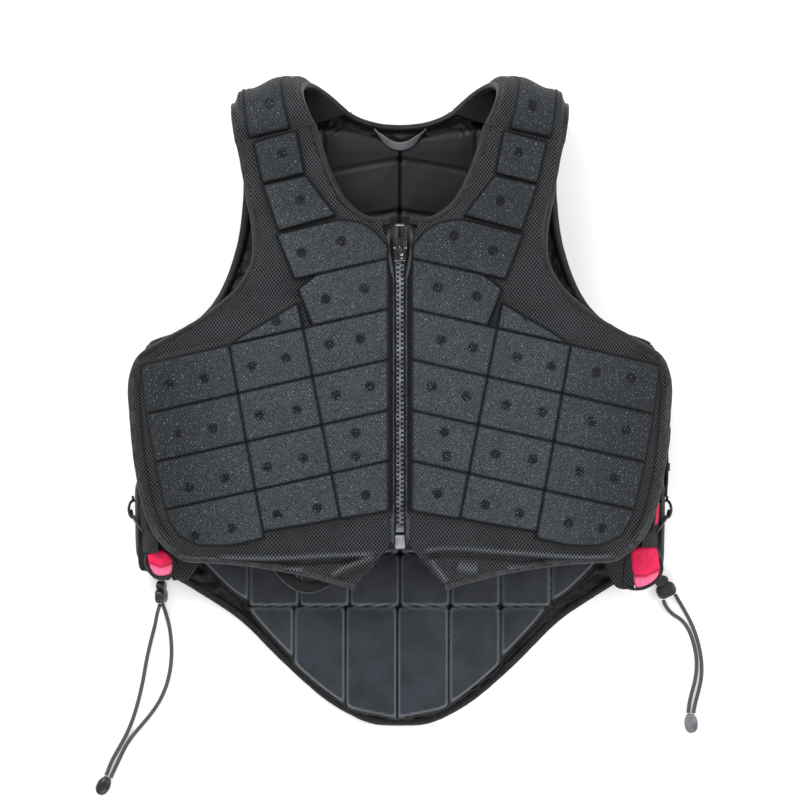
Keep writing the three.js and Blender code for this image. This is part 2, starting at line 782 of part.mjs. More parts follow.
// A point of the strap's middle layer, a share across it and a share along the fold, with its outward normal.
// inset draws both edges in.
function strapPoint(across, along, inset) {
  const edge = ([inner, outer]) =>
    new THREE.Vector2(lerp(inner.x + inset, outer.x - inset, across), lerp(inner.y, outer.y, across));
  const slant = Math.max(0, inset - BINDING_WIDTH / 2) * (1 - across);
  const front = edge(strapEnds.front);
  const back = edge(strapEnds.back);
  back.x += slant * 2;
  const top = lerp(SHOULDER_TOP_INNER * HALF_WIDTH + inset, SHOULDER_TOP_OUTER * HALF_WIDTH - inset, across) + slant;
  const thick = FRONT_FOAM * tabled(SHOULDER_ACROSS, "across", "thick", across);
  const crest = yAt(tabled(SHOULDER_ACROSS, "across", "down", across)) - thick / 2;
  const reach = (crest - (front.y + back.y) / 2) / 0.75;
  const from = frontHeight(front.x, front.y);
  const curve = (u) => {
    const v = 1 - u;
    const y = front.y * v ** 3 + 3 * (front.y + reach) * v * v * u + 3 * (back.y + reach) * v * u * u + back.y * u ** 3;
    const z = lerp(from, SHOULDER_BACK_MIDDLE, u * u * (3 - 2 * u));
    const x = front.x * v * (1 - 2 * u) + top * 4 * u * v + back.x * u * (2 * u - 1);
    return new THREE.Vector3(x, y, z);
  };
  const point = curve(along);
  const ahead = curve(Math.min(1, along + 0.01)).sub(curve(Math.max(0, along - 0.01)));
  const normal = new THREE.Vector3(0, -ahead.z, ahead.y).normalize();
  return { point, normal, thick };
}

function shoulder() {
  const stations = SHOULDER_ACROSS.map((row) => row.across);
  return gridSolid(SHOULDER_STEPS, stations.length - 1, (i, j, side) => {
    const { point, normal, thick } = strapPoint(stations[j], i / SHOULDER_STEPS, CURVED_INSET);
    return point.addScaledVector(normal, (side - 0.5) * thick);
  });
}

const strapEdge = (across) =>
  Array.from(
    { length: SHOULDER_STEPS + 1 },
    (_, i) => strapPoint(across, i / SHOULDER_STEPS, BINDING_WIDTH / 2).point,
  );

// Back panel

const BACK_STEPS = 20;
const BACK_COLUMNS = 4; // from the centre line to the side
const NECK_COLUMNS = 2; // of them under the neckline
const backSide = curveThrough(BACK_SIDE).getSpacedPoints(BACK_STEPS);
const backUnderarm = nearestTo(backSide, place({ out: 0.945, down: 0.407 }));
const backEdge = shifted(backSide, BINDING_WIDTH / 2);
const tailLine = curveThrough(TAIL_FOOT);
const neckLine = curveThrough(BACK_NECK);

function backSheet() {
  const side = shifted(backSide, CURVED_INSET + CLEARANCE);
  side[0] = backSide[0].clone().add(new THREE.Vector2(-1, CURVED_INSET + CLEARANCE));
  side[BACK_STEPS].copy(strapEnds.back[1]).x -= EDGE_INSET;
  const centreFoot = yAt(TAIL_FOOT[0].down) + CURVED_INSET + CLEARANCE;
  const centreHead = yAt(BACK_NECK[0].down) - EDGE_INSET;
  return gridSolid(BACK_STEPS, 2 * BACK_COLUMNS, (i, j, layer) => {
    const sign = j < BACK_COLUMNS ? -1 : 1;
    const across = Math.abs(j - BACK_COLUMNS) / BACK_COLUMNS;
    const share = NECK_COLUMNS / BACK_COLUMNS;
    let p = new THREE.Vector2(0, lerp(centreFoot, centreHead, i / BACK_STEPS)).lerp(side[i], across);
    if (i === 0) p = tailLine.getPoint(across).add(new THREE.Vector2(-across, CURVED_INSET + CLEARANCE));
    if (i === BACK_STEPS && across <= share)
      p = neckLine.getPoint(across / share).add(new THREE.Vector2(0, -EDGE_INSET));
    if (i === BACK_STEPS && across > share)
      p = strapEnds.back[0].clone().lerp(side[i], (across - share) / (1 - share)).sub(new THREE.Vector2(0, CLEARANCE));
    if (i === BACK_STEPS && across === share) p.x += BINDING_WIDTH;
    return new THREE.Vector3(sign * p.x, p.y, backHeight(p.x) + layer * BACK_SHEET);
  });
}

// Foam blocks of the back, standing on its sheet, in rows that are cut by seams along the body.
function backBlocks() {
  const reach = BINDING_WIDTH + BACK_FOAM_MARGIN;
  const half = [
    ...shifted(curveThrough(BACK_SIDE).getSpacedPoints(40), reach),
    place({ out: 0.2, down: 0.082 }),
    place({ out: 0, down: 0.098 }),
  ];
  half[0] = place(TAIL_FOOT[2]).add(new THREE.Vector2(-4, reach));
  half.unshift(place(TAIL_FOOT[0]).add(new THREE.Vector2(0, reach)));
  half.forEach((p) => p.setX(Math.min(p.x, BACK_FOAM_SIDE * HALF_WIDTH)));
  const blocks = [];
  BACK_FOAM_ROWS.forEach((row, r) => {
    const next = BACK_FOAM_ROWS[r + 1] ?? { down: BACK_FOAM_END, slope: 0 };
    const line = ({ down, slope }) => ({
      point: new THREE.Vector2(0, yAt(down)),
      down: new THREE.Vector2(-slope, -1).normalize(),
    });
    const above = line(row);
    const below = line(next);
    const band = clipped(clipped(half, above.point, above.down), below.point, below.down.clone().negate());
    for (let from = 0; from < 1; from += row.width) {
      let cell = clipped(band, new THREE.Vector2(from * HALF_WIDTH, 0), new THREE.Vector2(1, 0));
      cell = clipped(cell, new THREE.Vector2((from + row.width) * HALF_WIDTH, 0), new THREE.Vector2(-1, 0));
      if (cell.length < 3 || Math.abs(THREE.ShapeUtils.area(cell)) < 420) continue;
      const body = shrunk(cell, GROOVE / 2);
      const face = shrunk(body, CHAMFER);
      const top = BACK_SHEET + BACK_FOAM;
      const layers = [
        { outline: body, height: BACK_SHEET / 2 },
        ...(row.covered ? [] : [{ outline: body, height: top - CHAMFER }]),
        { outline: face, height: top },
      ];
      const block = stackSolid(layers, backHeight);
      blocks.push(block, mirrored(block));
    }
  });
  return blocks;
}

function backHemBinding() {
  const half = over(backEdge.slice(0, backUnderarm + 1), (x) => backHeight(x) + BINDING_HEIGHT / 2);
  const tail = [1, 0, -1].map((way) => {
    const p = tailLine.getPoint(Math.abs(way) / 2);
    return new THREE.Vector3(way * p.x, p.y + BINDING_WIDTH / 2, BINDING_HEIGHT / 2);
  });
  return barAlong(trimmed([...half.reverse(), ...tail, ...flip(half).reverse()]), BINDING_SECTION);
}

function armholeBinding() {
  const front = over(frontEdge.slice(frontUnderarm, -1), frontHeight);
  const back = over(backEdge.slice(backUnderarm, -1).reverse(), (x, y) => {
    const t = THREE.MathUtils.smoothstep(y, yAt(0.3), yAt(0.12));
    return lerp(backHeight(x) + BINDING_HEIGHT / 2, SHOULDER_BACK_MIDDLE, t);
  });
  return barAlong(trimmed([...front, ...strapEdge(1), ...back]), BINDING_SECTION);
}

function backNeckBinding() {
  const edge = strapEdge(0);
  const neck = [0.75, 0.4, 0].map((t) => {
    const p = neckLine.getPoint(t);
    return new THREE.Vector3(p.x, p.y - BINDING_WIDTH / 2, lerp(7, SHOULDER_BACK_MIDDLE, t));
  });
  const half = [...edge, ...neck];
  return barAlong(trimmed([...half, ...flip(half.slice(0, -1)).reverse()]), BINDING_SECTION);
}

// Zip

const sliderY = zipHead.y - SLIDER_BELOW_HEAD;
const chainHead = sliderY - SLIDER_PAST_CHAIN;
const chainFoot = zipFoot.y + CHAIN_ABOVE_FOOT;
const ZIP_TOP_TRIM = 8; // the tape ends below the neck binding
const tapeTop = (y) => frontHeight(0, y) - FRONT_SHEET / 2 - ZIP_GAP;

function zipTape() {
  const foot = zipFoot.y;
  const head = zipHead.y - ZIP_TOP_TRIM;
  return gridSolid(ZIP_STEPS, 1, (i, j, side) => {
    const y = lerp(foot, head, i / ZIP_STEPS);
    return new THREE.Vector3(j ? ZIP_OPENING_HALF + TAPE_OVERLAP : TAPE_SPLIT / 2, y, tapeTop(y) - (1 - side) * TAPE);
  });
}

function zipChain() {
  return gridSolid(ZIP_STEPS, 2, (i, j, side) => {
    const y = lerp(chainFoot, chainHead, i / ZIP_STEPS);
    const drop = side && j !== 1 ? 0.5 : 0;
    return new THREE.Vector3((j - 1) * (CHAIN_WIDTH / 2), y, tapeTop(y) + ZIP_GAP + side * CHAIN - drop);
  });
}

const box = (width, length, height, x, y, z) =>
  new THREE.BoxGeometry(width, length, height).translate(x, y, z);

const sliderFoot = tapeTop(sliderY - SLIDER_LENGTH / 2) + ZIP_GAP;
const crownFoot = sliderFoot + SLIDER_HEIGHT;
const CROWN_OPEN = CROWN_HEIGHT - 1.2;
const pullAxis = { y: sliderY, z: crownFoot + CROWN_OPEN / 2 };

function zipSlider() {
  const w = SLIDER_WIDTH / 2;
  const l = SLIDER_LENGTH / 2;
  const outline = [
    [-w * 0.72, -l],
    [w * 0.72, -l],
    [w, -l * 0.1],
    [w, l * 0.7],
    [w * 0.8, l],
    [-w * 0.8, l],
    [-w, l * 0.7],
    [-w, -l * 0.1],
  ].map(([x, y]) => new THREE.Vector2(x, y + sliderY));
  const face = shrunk(outline, 1.2);
  const layers = [
    { outline: shrunk(outline, 0), height: 0 },
    { outline: shrunk(outline, 0), height: SLIDER_HEIGHT - 1.2 },
    { outline: face, height: SLIDER_HEIGHT },
  ];
  const body = stackSolid(layers, () => sliderFoot);
  const post = (CROWN_LENGTH - CROWN_HOLE) / 2;
  const away = (CROWN_HOLE + post) / 2;
  const posts = [-away, away].map((y) =>
    box(CROWN_WIDTH, post, CROWN_HEIGHT + 1, 0, sliderY + y, crownFoot + (CROWN_HEIGHT - 1) / 2),
  );
  const roof = CROWN_HEIGHT - CROWN_OPEN;
  return fuse([body, ...posts, box(CROWN_WIDTH, CROWN_LENGTH, roof, 0, sliderY, crownFoot + CROWN_HEIGHT - roof / 2)]);
}

// The pull lies towards the neck. Its cross bar passes under the slider's crown.
function zipPull() {
  const bar = new THREE.CylinderGeometry(PULL / 2, PULL / 2, 8.4, 10).rotateZ(Math.PI / 2);
  const arms = [-1, 1].map((way) => box(2, PULL_ARM, PULL, way * 3.2, PULL_ARM / 2, 0));
  const length = PULL_LENGTH - PULL_ARM;
  const w = PULL_WIDTH / 2;
  const plate = new THREE.Shape(
    [
      [-w, 1.5],
      [-w + 1.5, 0],
      [w - 1.5, 0],
      [w, 1.5],
      [w, length - 3],
      [w - 3, length],
      [-w + 3, length],
      [-w, length - 3],
    ].map(([x, y]) => new THREE.Vector2(x, y)),
  );
  plate.holes.push(
    new THREE.Path(
      [
        [-2.8, 3],
        [-2.8, length - 3.4],
        [2.8, length - 3.4],
        [2.8, 3],
      ].map(([x, y]) => new THREE.Vector2(x, y)),
    ),
  );
  const frame = new THREE.ExtrudeGeometry(plate, { depth: PULL, bevelEnabled: false });
  frame.translate(0, PULL_ARM - 0.6, -PULL / 2);
  return fuse([bar, ...arms, frame]).translate(0, pullAxis.y, pullAxis.z);
}

function flatPiece(corners, thickness, chamfer, foot) {
  const outline = shrunk(corners.map(([x, y]) => new THREE.Vector2(x, y)), 0);
  const face = shrunk(outline, chamfer);
  const layers = [
    { outline: face, height: 0 },
    { outline, height: chamfer },
    { outline, height: thickness - chamfer },
    { outline: face, height: thickness },
  ];
  return stackSolid(layers, () => foot);
}

// Sides

// A wall that bows out between the front and the back, from one place along the body to another. It covers
// the stretch of the bow from one share of a half turn to another.
function sideWall(stations, wall, from, to) {
  const around = 6;
  return gridSolid(stations.length - 1, around, (i, j, side) => {
    const { y, inner, reach } = stations[i];
    const turn = lerp(from, to, j / around) * Math.PI;
    const x = inner + (reach - inner - side * wall) * Math.sin(turn);
    const low = backHeight(x) + BACK_SHEET + GUSSET_GAP;
    const high = frontHeight(x, y) - FRONT_FOAM / 2 - GUSSET_GAP;
    const rim = side * (wall / (high - low)) * Math.cos(turn);
    return new THREE.Vector3(x, y, lerp(low, high, 0.5 - 0.5 * Math.cos(turn) + rim));
  });
}

const gussetStations = GUSSET_ROWS.map(({ down, inner, reach }) => ({
  y: yAt(down),
  inner: inner * HALF_WIDTH,
  reach: reach * HALF_WIDTH,
}));

// The gusset's inner edge and reach at a place along the body.
function gussetAt(y) {
  const i = Math.max(1, gussetStations.findIndex((station) => station.y <= y));
  const [above, below] = [gussetStations[i - 1], gussetStations[i]];
  const t = (above.y - y) / (above.y - below.y);
  return { y, inner: lerp(above.inner, below.inner, t), reach: lerp(above.reach, below.reach, t) };
}

const sideGusset = () => sideWall(gussetStations, GUSSET_WALL, 0, 1);

function waistWebbing() {
  const middle = gussetStations[gussetStations.length - 2].y;
  const stations = [WEBBING_TOP, middle, WEBBING_FOOT].map(gussetAt);
  stations.forEach((station) => {
    station.reach += SEAT + CLEARANCE + WEBBING;
    station.inner += 2 * WEBBING;
  });
  return sideWall(stations, WEBBING, 0.24, 0.76);
}

const vector = ([x, y, z]) => new THREE.Vector3(x, y, z);

function cordAlong(points, sides) {
  const extrudePath = new THREE.CatmullRomCurve3(points.map(vector), false, "centripetal");
  const section = new THREE.Shape(ring(sides, LACE_DIAMETER / 2).map(([x, y]) => new THREE.Vector2(x, y)));
  const steps = Math.round(extrudePath.getLength() / (2.4 * LACE_DIAMETER));
  const tube = new THREE.ExtrudeGeometry(section, { extrudePath, steps, bevelEnabled: false });
  return toGeometry(toManifold(tube));
}

function roundedOutline(width, length, corner) {
  const [w, l] = [width / 2, length / 2];
  return [
    [w - corner, -l],
    [w, -l + corner],
    [w, l - corner],
    [w - corner, l],
    [-w + corner, l],
    [-w, l - corner],
    [-w, -l + corner],
    [-w + corner, -l],
  ];
}

// Cord lock: a flat body that the cords leave at its foot, and a plunger at its head.
function cordLock({ x, y, z, turn, roll }) {
  const whole = LOCK_LENGTH + LOCK_PLUNGER;
  const body = flatPiece(roundedOutline(LOCK_WIDTH, LOCK_LENGTH, 4.5), LOCK_HEIGHT, 2, -LOCK_HEIGHT / 2);
  body.translate(0, (LOCK_LENGTH - whole) / 2, 0);
  const plunger = flatPiece(
    roundedOutline(LOCK_BUTTON, LOCK_PLUNGER + 4, 3),
    LOCK_HEIGHT - 1.6,
    1.6,
    0.8 - LOCK_HEIGHT / 2,
  );
  plunger.translate(0, (whole - LOCK_PLUNGER - 4) / 2, 0);
  const lock = fuse([body, plunger]);
  lock.rotateY(THREE.MathUtils.degToRad(roll)).rotateZ(THREE.MathUtils.degToRad(turn));
  return lock.translate(x, y, z);
}

function cordEnd({ x, y, z, turn }) {
  const rings = [
    [-0.5, 0.42],
    [-0.28, 0.9],
    [0.1, 1],
    [0.38, 0.72],
    [0.5, 0.46],
  ];
  const count = 8;
  const bead = new THREE.LatheGeometry(
    [
      new THREE.Vector2(0, -CORD_END_LENGTH / 2),
      ...rings.map(([along, wide]) => new THREE.Vector2((wide * CORD_END_WIDTH) / 2, along * CORD_END_LENGTH)),
      new THREE.Vector2(0, CORD_END_LENGTH / 2),
    ],
    count,
  );
  const flat = toGeometry(toManifold(bead)).scale(1, 1, CORD_END_HEIGHT / CORD_END_WIDTH);
  flat.rotateZ(THREE.MathUtils.degToRad(turn));
  return flat.translate(x, y, z);
}

// Hem loop and neck

const arcLine = (from, to, sag, steps, height) =>
  Array.from({ length: steps + 1 }, (_, i) => {
    const t = i / steps;
    const y = lerp(from[1], to[1], t) - sag * 4 * t * (1 - t);
    return new THREE.Vector3(lerp(from[0], to[0], t), y, height(Math.min(t, 1 - t)));
  });

const HEM_LOOP_ENDS = [
  [-113, -150.5],
  [-62, -159],
];
const HEM_LOOP_SAG = 15;
const HEM_LOOP_Z = 65.4;
const RIBBON_ENDS = [
  [-24, 258.6],
  [24, 258.6],
];
const RIBBON_SAG = 17.5;
const RIBBON_END_Z = 8.7; // at the neck binding; the rest lies over the foam
const BACK_TOP = BACK_SHEET + BACK_FOAM;

addPair("front_panel", fuse([frontSheet(), ...frontBlocks()]), BLACK_MESH);
addPair("shoulder", shoulder(), BLACK_MESH);
add("back_panel", fuse([backSheet(), ...backBlocks()]), FOAM_SKIN);

addPair("front_neck_binding", frontNeckBinding(), BLACK_BINDING);
addPair("front_hem_binding", frontHemBinding(), BLACK_BINDING);
addPair("armhole_binding", armholeBinding(), BLACK_BINDING);
add("back_neck_binding", backNeckBinding(), BLACK_BINDING);
add("back_hem_binding", backHemBinding(), BLACK_BINDING);

addPair("zip_tape", zipTape(), BLACK_WEBBING);
add("zip_chain", zipChain(), BLACK_PLASTIC);
add("zip_slider", zipSlider(), GREY_METAL);
add("zip_pull", zipPull(), GREY_METAL);
const boxY = zipFoot.y + BOX_LENGTH / 2 - 2;
const boxFoot = tapeTop(boxY + BOX_LENGTH / 2) + SEAT;
add("zip_box", box(BOX_WIDTH, BOX_LENGTH, BOX_HEIGHT, 0, boxY, boxFoot + BOX_HEIGHT / 2), GREY_SATIN);

addPair("side_gusset", sideGusset(), BLACK_MESH);
addPair("waist_webbing", waistWebbing(), BLACK_WEBBING);
const hook = new THREE.TorusGeometry(RING_RADIUS, RING_WIRE, 6, 12).rotateY(Math.PI / 2);
const sideShift = HALF_WIDTH - HARDWARE_HALF_WIDTH;
addPair("ring_hook", toGeometry(toManifold(hook)).translate(...RING_CENTRE).translate(sideShift, 0, 0), BLACK_PLASTIC);

for (const [side, way] of Object.entries({ l: 1, r: -1 })) {
  const outside = (geometry) => geometry.translate(way * sideShift, 0, 0);
  const turned = (geometry) => outside(way > 0 ? geometry : mirrored(geometry));
  const [outward_, upward] = TAB_SHIFT[side];
  const tab = flatPiece(TAB_CORNERS, TAB, 2.4, TAB_Z - TAB / 2).translate(outward_, upward, 0);
  const end = flatPiece(TAB_END_CORNERS, TAB - 2, 2, TAB_Z - TAB / 2).translate(outward_, upward, 0);
  add(`side_tab_${side}`, turned(tab), PINK_FABRIC);
  add(`side_tab_end_${side}`, turned(end), BLACK_MESH);
  add(`side_lace_${side}`, turned(cordAlong([...LACE_ROUTE, ...LACE_END[side]], LACE_SIDES)), ELASTIC_CORD);
  const { lock, end: bead, strands } = CORDS[side];
  add(`cord_lock_${side}`, outside(cordLock(lock)), BLACK_PLASTIC);
  strands.forEach((points, i) => add(`cord_${side}_${i + 1}`, outside(cordAlong(points, CORD_SIDES)), ELASTIC_CORD));
  add(`cord_end_${side}`, outside(cordEnd(bead)), side === "l" ? GREY_SATIN : BLACK_PLASTIC);
}

const hemLoop = arcLine(...HEM_LOOP_ENDS, HEM_LOOP_SAG, 10, () => HEM_LOOP_Z);
add("hem_loop", barAlong(hemLoop, slab(3, 5)), BLACK_WEBBING);
const ribbonTop = BACK_TOP + SEAT + RIBBON_WIDTH / 2;
const ribbon = arcLine(...RIBBON_ENDS, RIBBON_SAG, 12, (t) =>
  lerp(RIBBON_END_Z, ribbonTop, THREE.MathUtils.smoothstep(t, 0, 0.22)),
);
add("hanging_loop", barAlong(ribbon, slab(RIBBON, RIBBON_WIDTH)), GREY_SATIN);
add("neck_label", box(LABEL_WIDTH, LABEL_LENGTH, LABEL, 0, LABEL_Y, BACK_SHEET + SEAT + LABEL / 2), GREY_SATIN);

export default group;
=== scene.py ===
import math

import bpy
import numpy as np
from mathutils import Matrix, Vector


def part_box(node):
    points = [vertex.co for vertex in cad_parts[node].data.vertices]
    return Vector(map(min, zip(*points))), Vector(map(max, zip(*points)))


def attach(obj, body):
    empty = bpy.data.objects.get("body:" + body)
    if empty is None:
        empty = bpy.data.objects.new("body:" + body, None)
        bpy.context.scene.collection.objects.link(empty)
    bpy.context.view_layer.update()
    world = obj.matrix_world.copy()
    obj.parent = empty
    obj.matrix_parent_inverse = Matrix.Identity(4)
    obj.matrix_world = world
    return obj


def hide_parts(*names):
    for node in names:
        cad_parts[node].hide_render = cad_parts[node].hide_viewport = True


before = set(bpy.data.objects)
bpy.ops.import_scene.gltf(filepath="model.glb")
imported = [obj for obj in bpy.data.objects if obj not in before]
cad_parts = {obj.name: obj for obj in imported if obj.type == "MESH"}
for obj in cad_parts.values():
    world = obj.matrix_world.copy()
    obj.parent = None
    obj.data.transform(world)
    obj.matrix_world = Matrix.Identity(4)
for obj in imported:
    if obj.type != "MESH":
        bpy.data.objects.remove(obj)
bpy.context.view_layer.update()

# Camera straight above. The image is 800 by 800, and a millimetre of the surface is about a pixel.
CAMERA_HEIGHT = 2.2
CAMERA_UP = 0.0038
FRAME_AT_FLOOR = 0.7568
camera = bpy.data.objects.new("camera", bpy.data.cameras.new("camera"))
bpy.context.scene.collection.objects.link(camera)
camera.location = (0, CAMERA_UP, CAMERA_HEIGHT)
camera.data.angle = 2 * math.atan(FRAME_AT_FLOOR / 2 / CAMERA_HEIGHT)
camera.data.clip_end = 20
bpy.context.scene.camera = camera

UP = np.array([0.0, 0.0, 1.0])


def array(*rows):
    return np.array(rows, float)


def points_at(*coordinates):
    """Points from their coordinates, each a number or an array."""
    return np.stack(np.broadcast_arrays(*coordinates), -1).astype(float)


def unit(v):
    return v / np.maximum(np.linalg.norm(v, axis=-1, keepdims=True), 1e-9)


def smooth(value, low, high):
    t = np.clip((np.asarray(value, float) - low) / (high - low), 0, 1)
    return t * t * (3 - 2 * t)


def lerp(a, b, t):
    return a + (b - a) * t


# Seeded value noise over plan places, from -1 to 1.
LATTICE = np.random.RandomState(7).uniform(-1, 1, (256, 256))


def noise(x, y, size, layer=0):
    u = np.asarray(x, float) / size + 37 * layer + 500
    v = np.asarray(y, float) / size + 61 * layer + 500
    i = np.floor(u).astype(int)
    j = np.floor(v).astype(int)
    s = u - i
    t = v - j
    s = s * s * (3 - 2 * s)
    t = t * t * (3 - 2 * t)

    def at(a, b):
        return LATTICE[(i + a) % 256, (j + b) % 256]

    return lerp(lerp(at(0, 0), at(1, 0), s), lerp(at(0, 1), at(1, 1), s), t)


# Curves


def dense(points, steps=40):
    """Uniform Catmull-Rom curve through plan points."""
    p = np.asarray(points, float)
    out = []
    for i in range(len(p) - 1):
        p0 = p[max(i - 1, 0)]
        p1 = p[i]
        p2 = p[i + 1]
        p3 = p[min(i + 2, len(p) - 1)]
        v0 = (p2 - p0) / 2
        v1 = (p3 - p1) / 2
        t = (np.arange(steps) / steps)[:, None]
        cubic = (2 * p1 - 2 * p2 + v0 + v1) * t**3
        square = (-3 * p1 + 3 * p2 - 2 * v0 - v1) * t**2
        out.append(cubic + square + v0 * t + p1)
    out.append(p[-1:])
    return np.vstack(out)


def run_of(line):
    """The distance along a line at each of its points."""
    return np.concatenate([[0], np.cumsum(np.linalg.norm(np.diff(line, axis=0), axis=1))])


def resampled(line, count):
    """The line with count + 1 points, equally spaced along it."""
    along = run_of(line)
    at = np.linspace(0, along[-1], count + 1)
    return np.stack([np.interp(at, along, line[:, k]) for k in range(line.shape[1])], 1)


def spaced(points, count):
    return resampled(dense(points), count)


def length_of(line):
    return float(np.linalg.norm(np.diff(line, axis=0), axis=1).sum())


def centripetal(points, steps=10):
    """Centripetal Catmull-Rom curve through points in space."""
    p = np.asarray(points, float)
    p = np.vstack([2 * p[0] - p[1], p, 2 * p[-1] - p[-2]])
    out = []
    for i in range(1, len(p) - 2):
        t0 = 0.0
        t1 = t0 + np.linalg.norm(p[i] - p[i - 1]) ** 0.5
        t2 = t1 + np.linalg.norm(p[i + 1] - p[i]) ** 0.5
        t3 = t2 + np.linalg.norm(p[i + 2] - p[i + 1]) ** 0.5
        t = np.linspace(t1, t2, steps, endpoint=False)[:, None]
        a1 = (t1 - t) / (t1 - t0) * p[i - 1] + (t - t0) / (t1 - t0) * p[i]
        a2 = (t2 - t) / (t2 - t1) * p[i] + (t - t1) / (t2 - t1) * p[i + 1]
        a3 = (t3 - t) / (t3 - t2) * p[i + 1] + (t - t2) / (t3 - t2) * p[i + 2]
        b1 = (t2 - t) / (t2 - t0) * a1 + (t - t0) / (t2 - t0) * a2
        b2 = (t3 - t) / (t3 - t1) * a2 + (t - t1) / (t3 - t1) * a3
        out.append((t2 - t) / (t2 - t1) * b1 + (t - t1) / (t2 - t1) * b2)
    out.append(p[-2:-1])
    return np.vstack(out)


def shifted(line, distance):
    """A plan line moved sideways, to its left as it runs."""
    along = unit(np.gradient(line, axis=0))
    return line + np.stack([-along[:, 1], along[:, 0]], 1) * distance


def distance_to(line, x, y):
    """Distance from plan places to a line of points, and the share of the line where it is least."""
    best = np.full(np.shape(x), 1e9)
    share = np.zeros(np.shape(x))
    for k in range(len(line) - 1):
        a = line[k]
        ab = line[k + 1] - a
        t = np.clip(((x - a[0]) * ab[0] + (y - a[1]) * ab[1]) / (ab @ ab), 0, 1)
        d = np.hypot(x - a[0] - t * ab[0], y - a[1] - t * ab[1])
        share = np.where(d < best, (k + t) / (len(line) - 1), share)
        best = np.minimum(best, d)
    return best, share


# Blocks as plan polygons


def turned_left(polygon):
    p = np.asarray(polygon, float)
    q = np.roll(p, -1, axis=0)
    return p if (p[:, 0] * q[:, 1] - q[:, 0] * p[:, 1]).sum() > 0 else p[::-1]


def clipped(polygon, point, inward):
    """The part of a polygon on the inner side of a line."""
    kept = []
    for a, b in zip(polygon, np.roll(polygon, -1, axis=0)):
        da = (a - point) @ inward
        db = (b - point) @ inward
        if da >= 0:
            kept.append(a)
        if da * db < 0:
            kept.append(lerp(a, b, da / (da - db)))
    return np.array(kept) if len(kept) > 2 else np.zeros((0, 2))


def area_of(polygon):
    q = np.roll(polygon, -1, axis=0)
    return abs((polygon[:, 0] * q[:, 1] - q[:, 0] * polygon[:, 1]).sum()) / 2 if len(polygon) > 2 else 0


def depth_in(polygon, x, y, corner):
    """How deep plan places lie in a convex polygon, with its corners rounded. Negative outside."""
    p = turned_left(polygon)
    total = np.zeros(np.shape(x))
    for a, b in zip(p, np.roll(p, -1, axis=0)):
        if np.hypot(*(b - a)) < 1:
            continue
        n = unit(array(-(b - a)[1], (b - a)[0]))
        total += np.exp(-np.clip(((x - a[0]) * n[0] + (y - a[1]) * n[1]) / corner, -40, 40))
    return -corner * np.log(np.maximum(total, 1e-12))


# Mesh building. Places are in millimetres until they are made into an object.


class Part:
    def __init__(self):
        self.places = []
        self.faces = []
        self.values = {}
        self.count = 0

    def put(self, places, faces, values):
        places = np.asarray(places, float).reshape(-1, 3)
        for name in set(values) | set(self.values):
            column = self.values.setdefault(name, [np.zeros(self.count)])
            given = values.get(name, 0.0)
            column.append(np.broadcast_to(np.asarray(given, float), (len(places),)))
        self.places.append(places)
        self.faces.extend((np.asarray(f) + self.count).tolist() for f in faces)
        self.count += len(places)

    def grid(self, points, facing=None, **values):
        """A sheet of rows by columns that shows its facing side, or a tube that shows its outside."""
        rows, columns = points.shape[:2]
        start = (np.arange(rows - 1)[:, None] * columns + np.arange(columns - 1)).ravel()
        quads = np.stack([start, start + 1, start + columns + 1, start + columns], 1)
        flat = points.reshape(-1, 3)
        a = flat[quads[:, 0]]
        normal = np.cross(flat[quads[:, 2]] - a, flat[quads[:, 3]] - flat[quads[:, 1]])
        if facing is None:
            core = points.mean(1, keepdims=True).repeat(columns, 1).reshape(-1, 3)
            side = (normal * (flat[quads].mean(1) - core[quads].mean(1))).sum()
        else:
            side = (normal @ np.asarray(facing, float)).sum()
        quads = quads if side > 0 else quads[:, ::-1]
        self.put(flat, quads, {k: np.broadcast_to(v, (rows, columns)).ravel() for k, v in values.items()})

    def cap(self, ring, facing, **values):
        """A fan that closes a ring of points."""
        ring = np.asarray(ring, float)
        n = len(ring)
        middle = ring.mean(0)
        turn = np.cross(ring - middle, np.roll(ring, -1, axis=0) - middle).sum(0) @ np.asarray(facing, float)
        fan = [(i, (i + 1) % n, n) if turn > 0 else ((i + 1) % n, i, n) for i in range(n)]
        self.put(np.vstack([ring, middle]), fan, values)

    def made(self, name, material, way=1):
        mesh = bpy.data.meshes.new(name)
        places = np.vstack(self.places) * (0.001 * way, 0.001, 0.001)
        mesh.from_pydata(places.tolist(), [], [f[::way] for f in self.faces])
        for key, columns in self.values.items():
            mesh.attributes.new(key, "FLOAT", "POINT").data.foreach_set("value", np.concatenate(columns))
        mesh.polygons.foreach_set("use_smooth", [True] * len(mesh.polygons))
        mesh.materials.append(material)
        mesh.update()
        piece = bpy.data.objects.new(name, mesh)
        bpy.context.scene.collection.objects.link(piece)
        return piece


# The edges of a sheet of rows by columns: where each lies in it and the way it faces
SIDE_EDGES = [((slice(None), 0), (-1, 0, 0)), ((slice(None), -1), (1, 0, 0))]
END_EDGES = [(0, (0, -1, 0)), (-1, (0, 1, 0))]


def walls(part, upper, lower, edges, **values):
    """Closes the gap between two sheets at some of their edges."""
    for at, facing in edges:
        part.grid(np.stack([upper[at], lower[at]]), facing=facing, **values)


def frames(path):
    """Direction, sideways and upward unit vectors along a path, carried from its start."""
    along = unit(np.gradient(path, axis=0))
    across = np.zeros_like(path)
    side = np.cross(along[0], UP)
    for i, a in enumerate(along):
        side = side - a * (side @ a)
        side = side / max(np.linalg.norm(side), 1e-9)
        across[i] = side
    return along, across, np.cross(across, along)


def oval(width, height, count, squareness=1.0):
    """A closed section, its seam at the underside. Squareness under 1 fills its corners."""
    turn = np.linspace(-math.pi / 2, 1.5 * math.pi, count + 1)
    points = np.stack([np.cos(turn), np.sin(turn)], 1)
    return np.sign(points) * np.abs(points) ** squareness * (width / 2, height / 2)


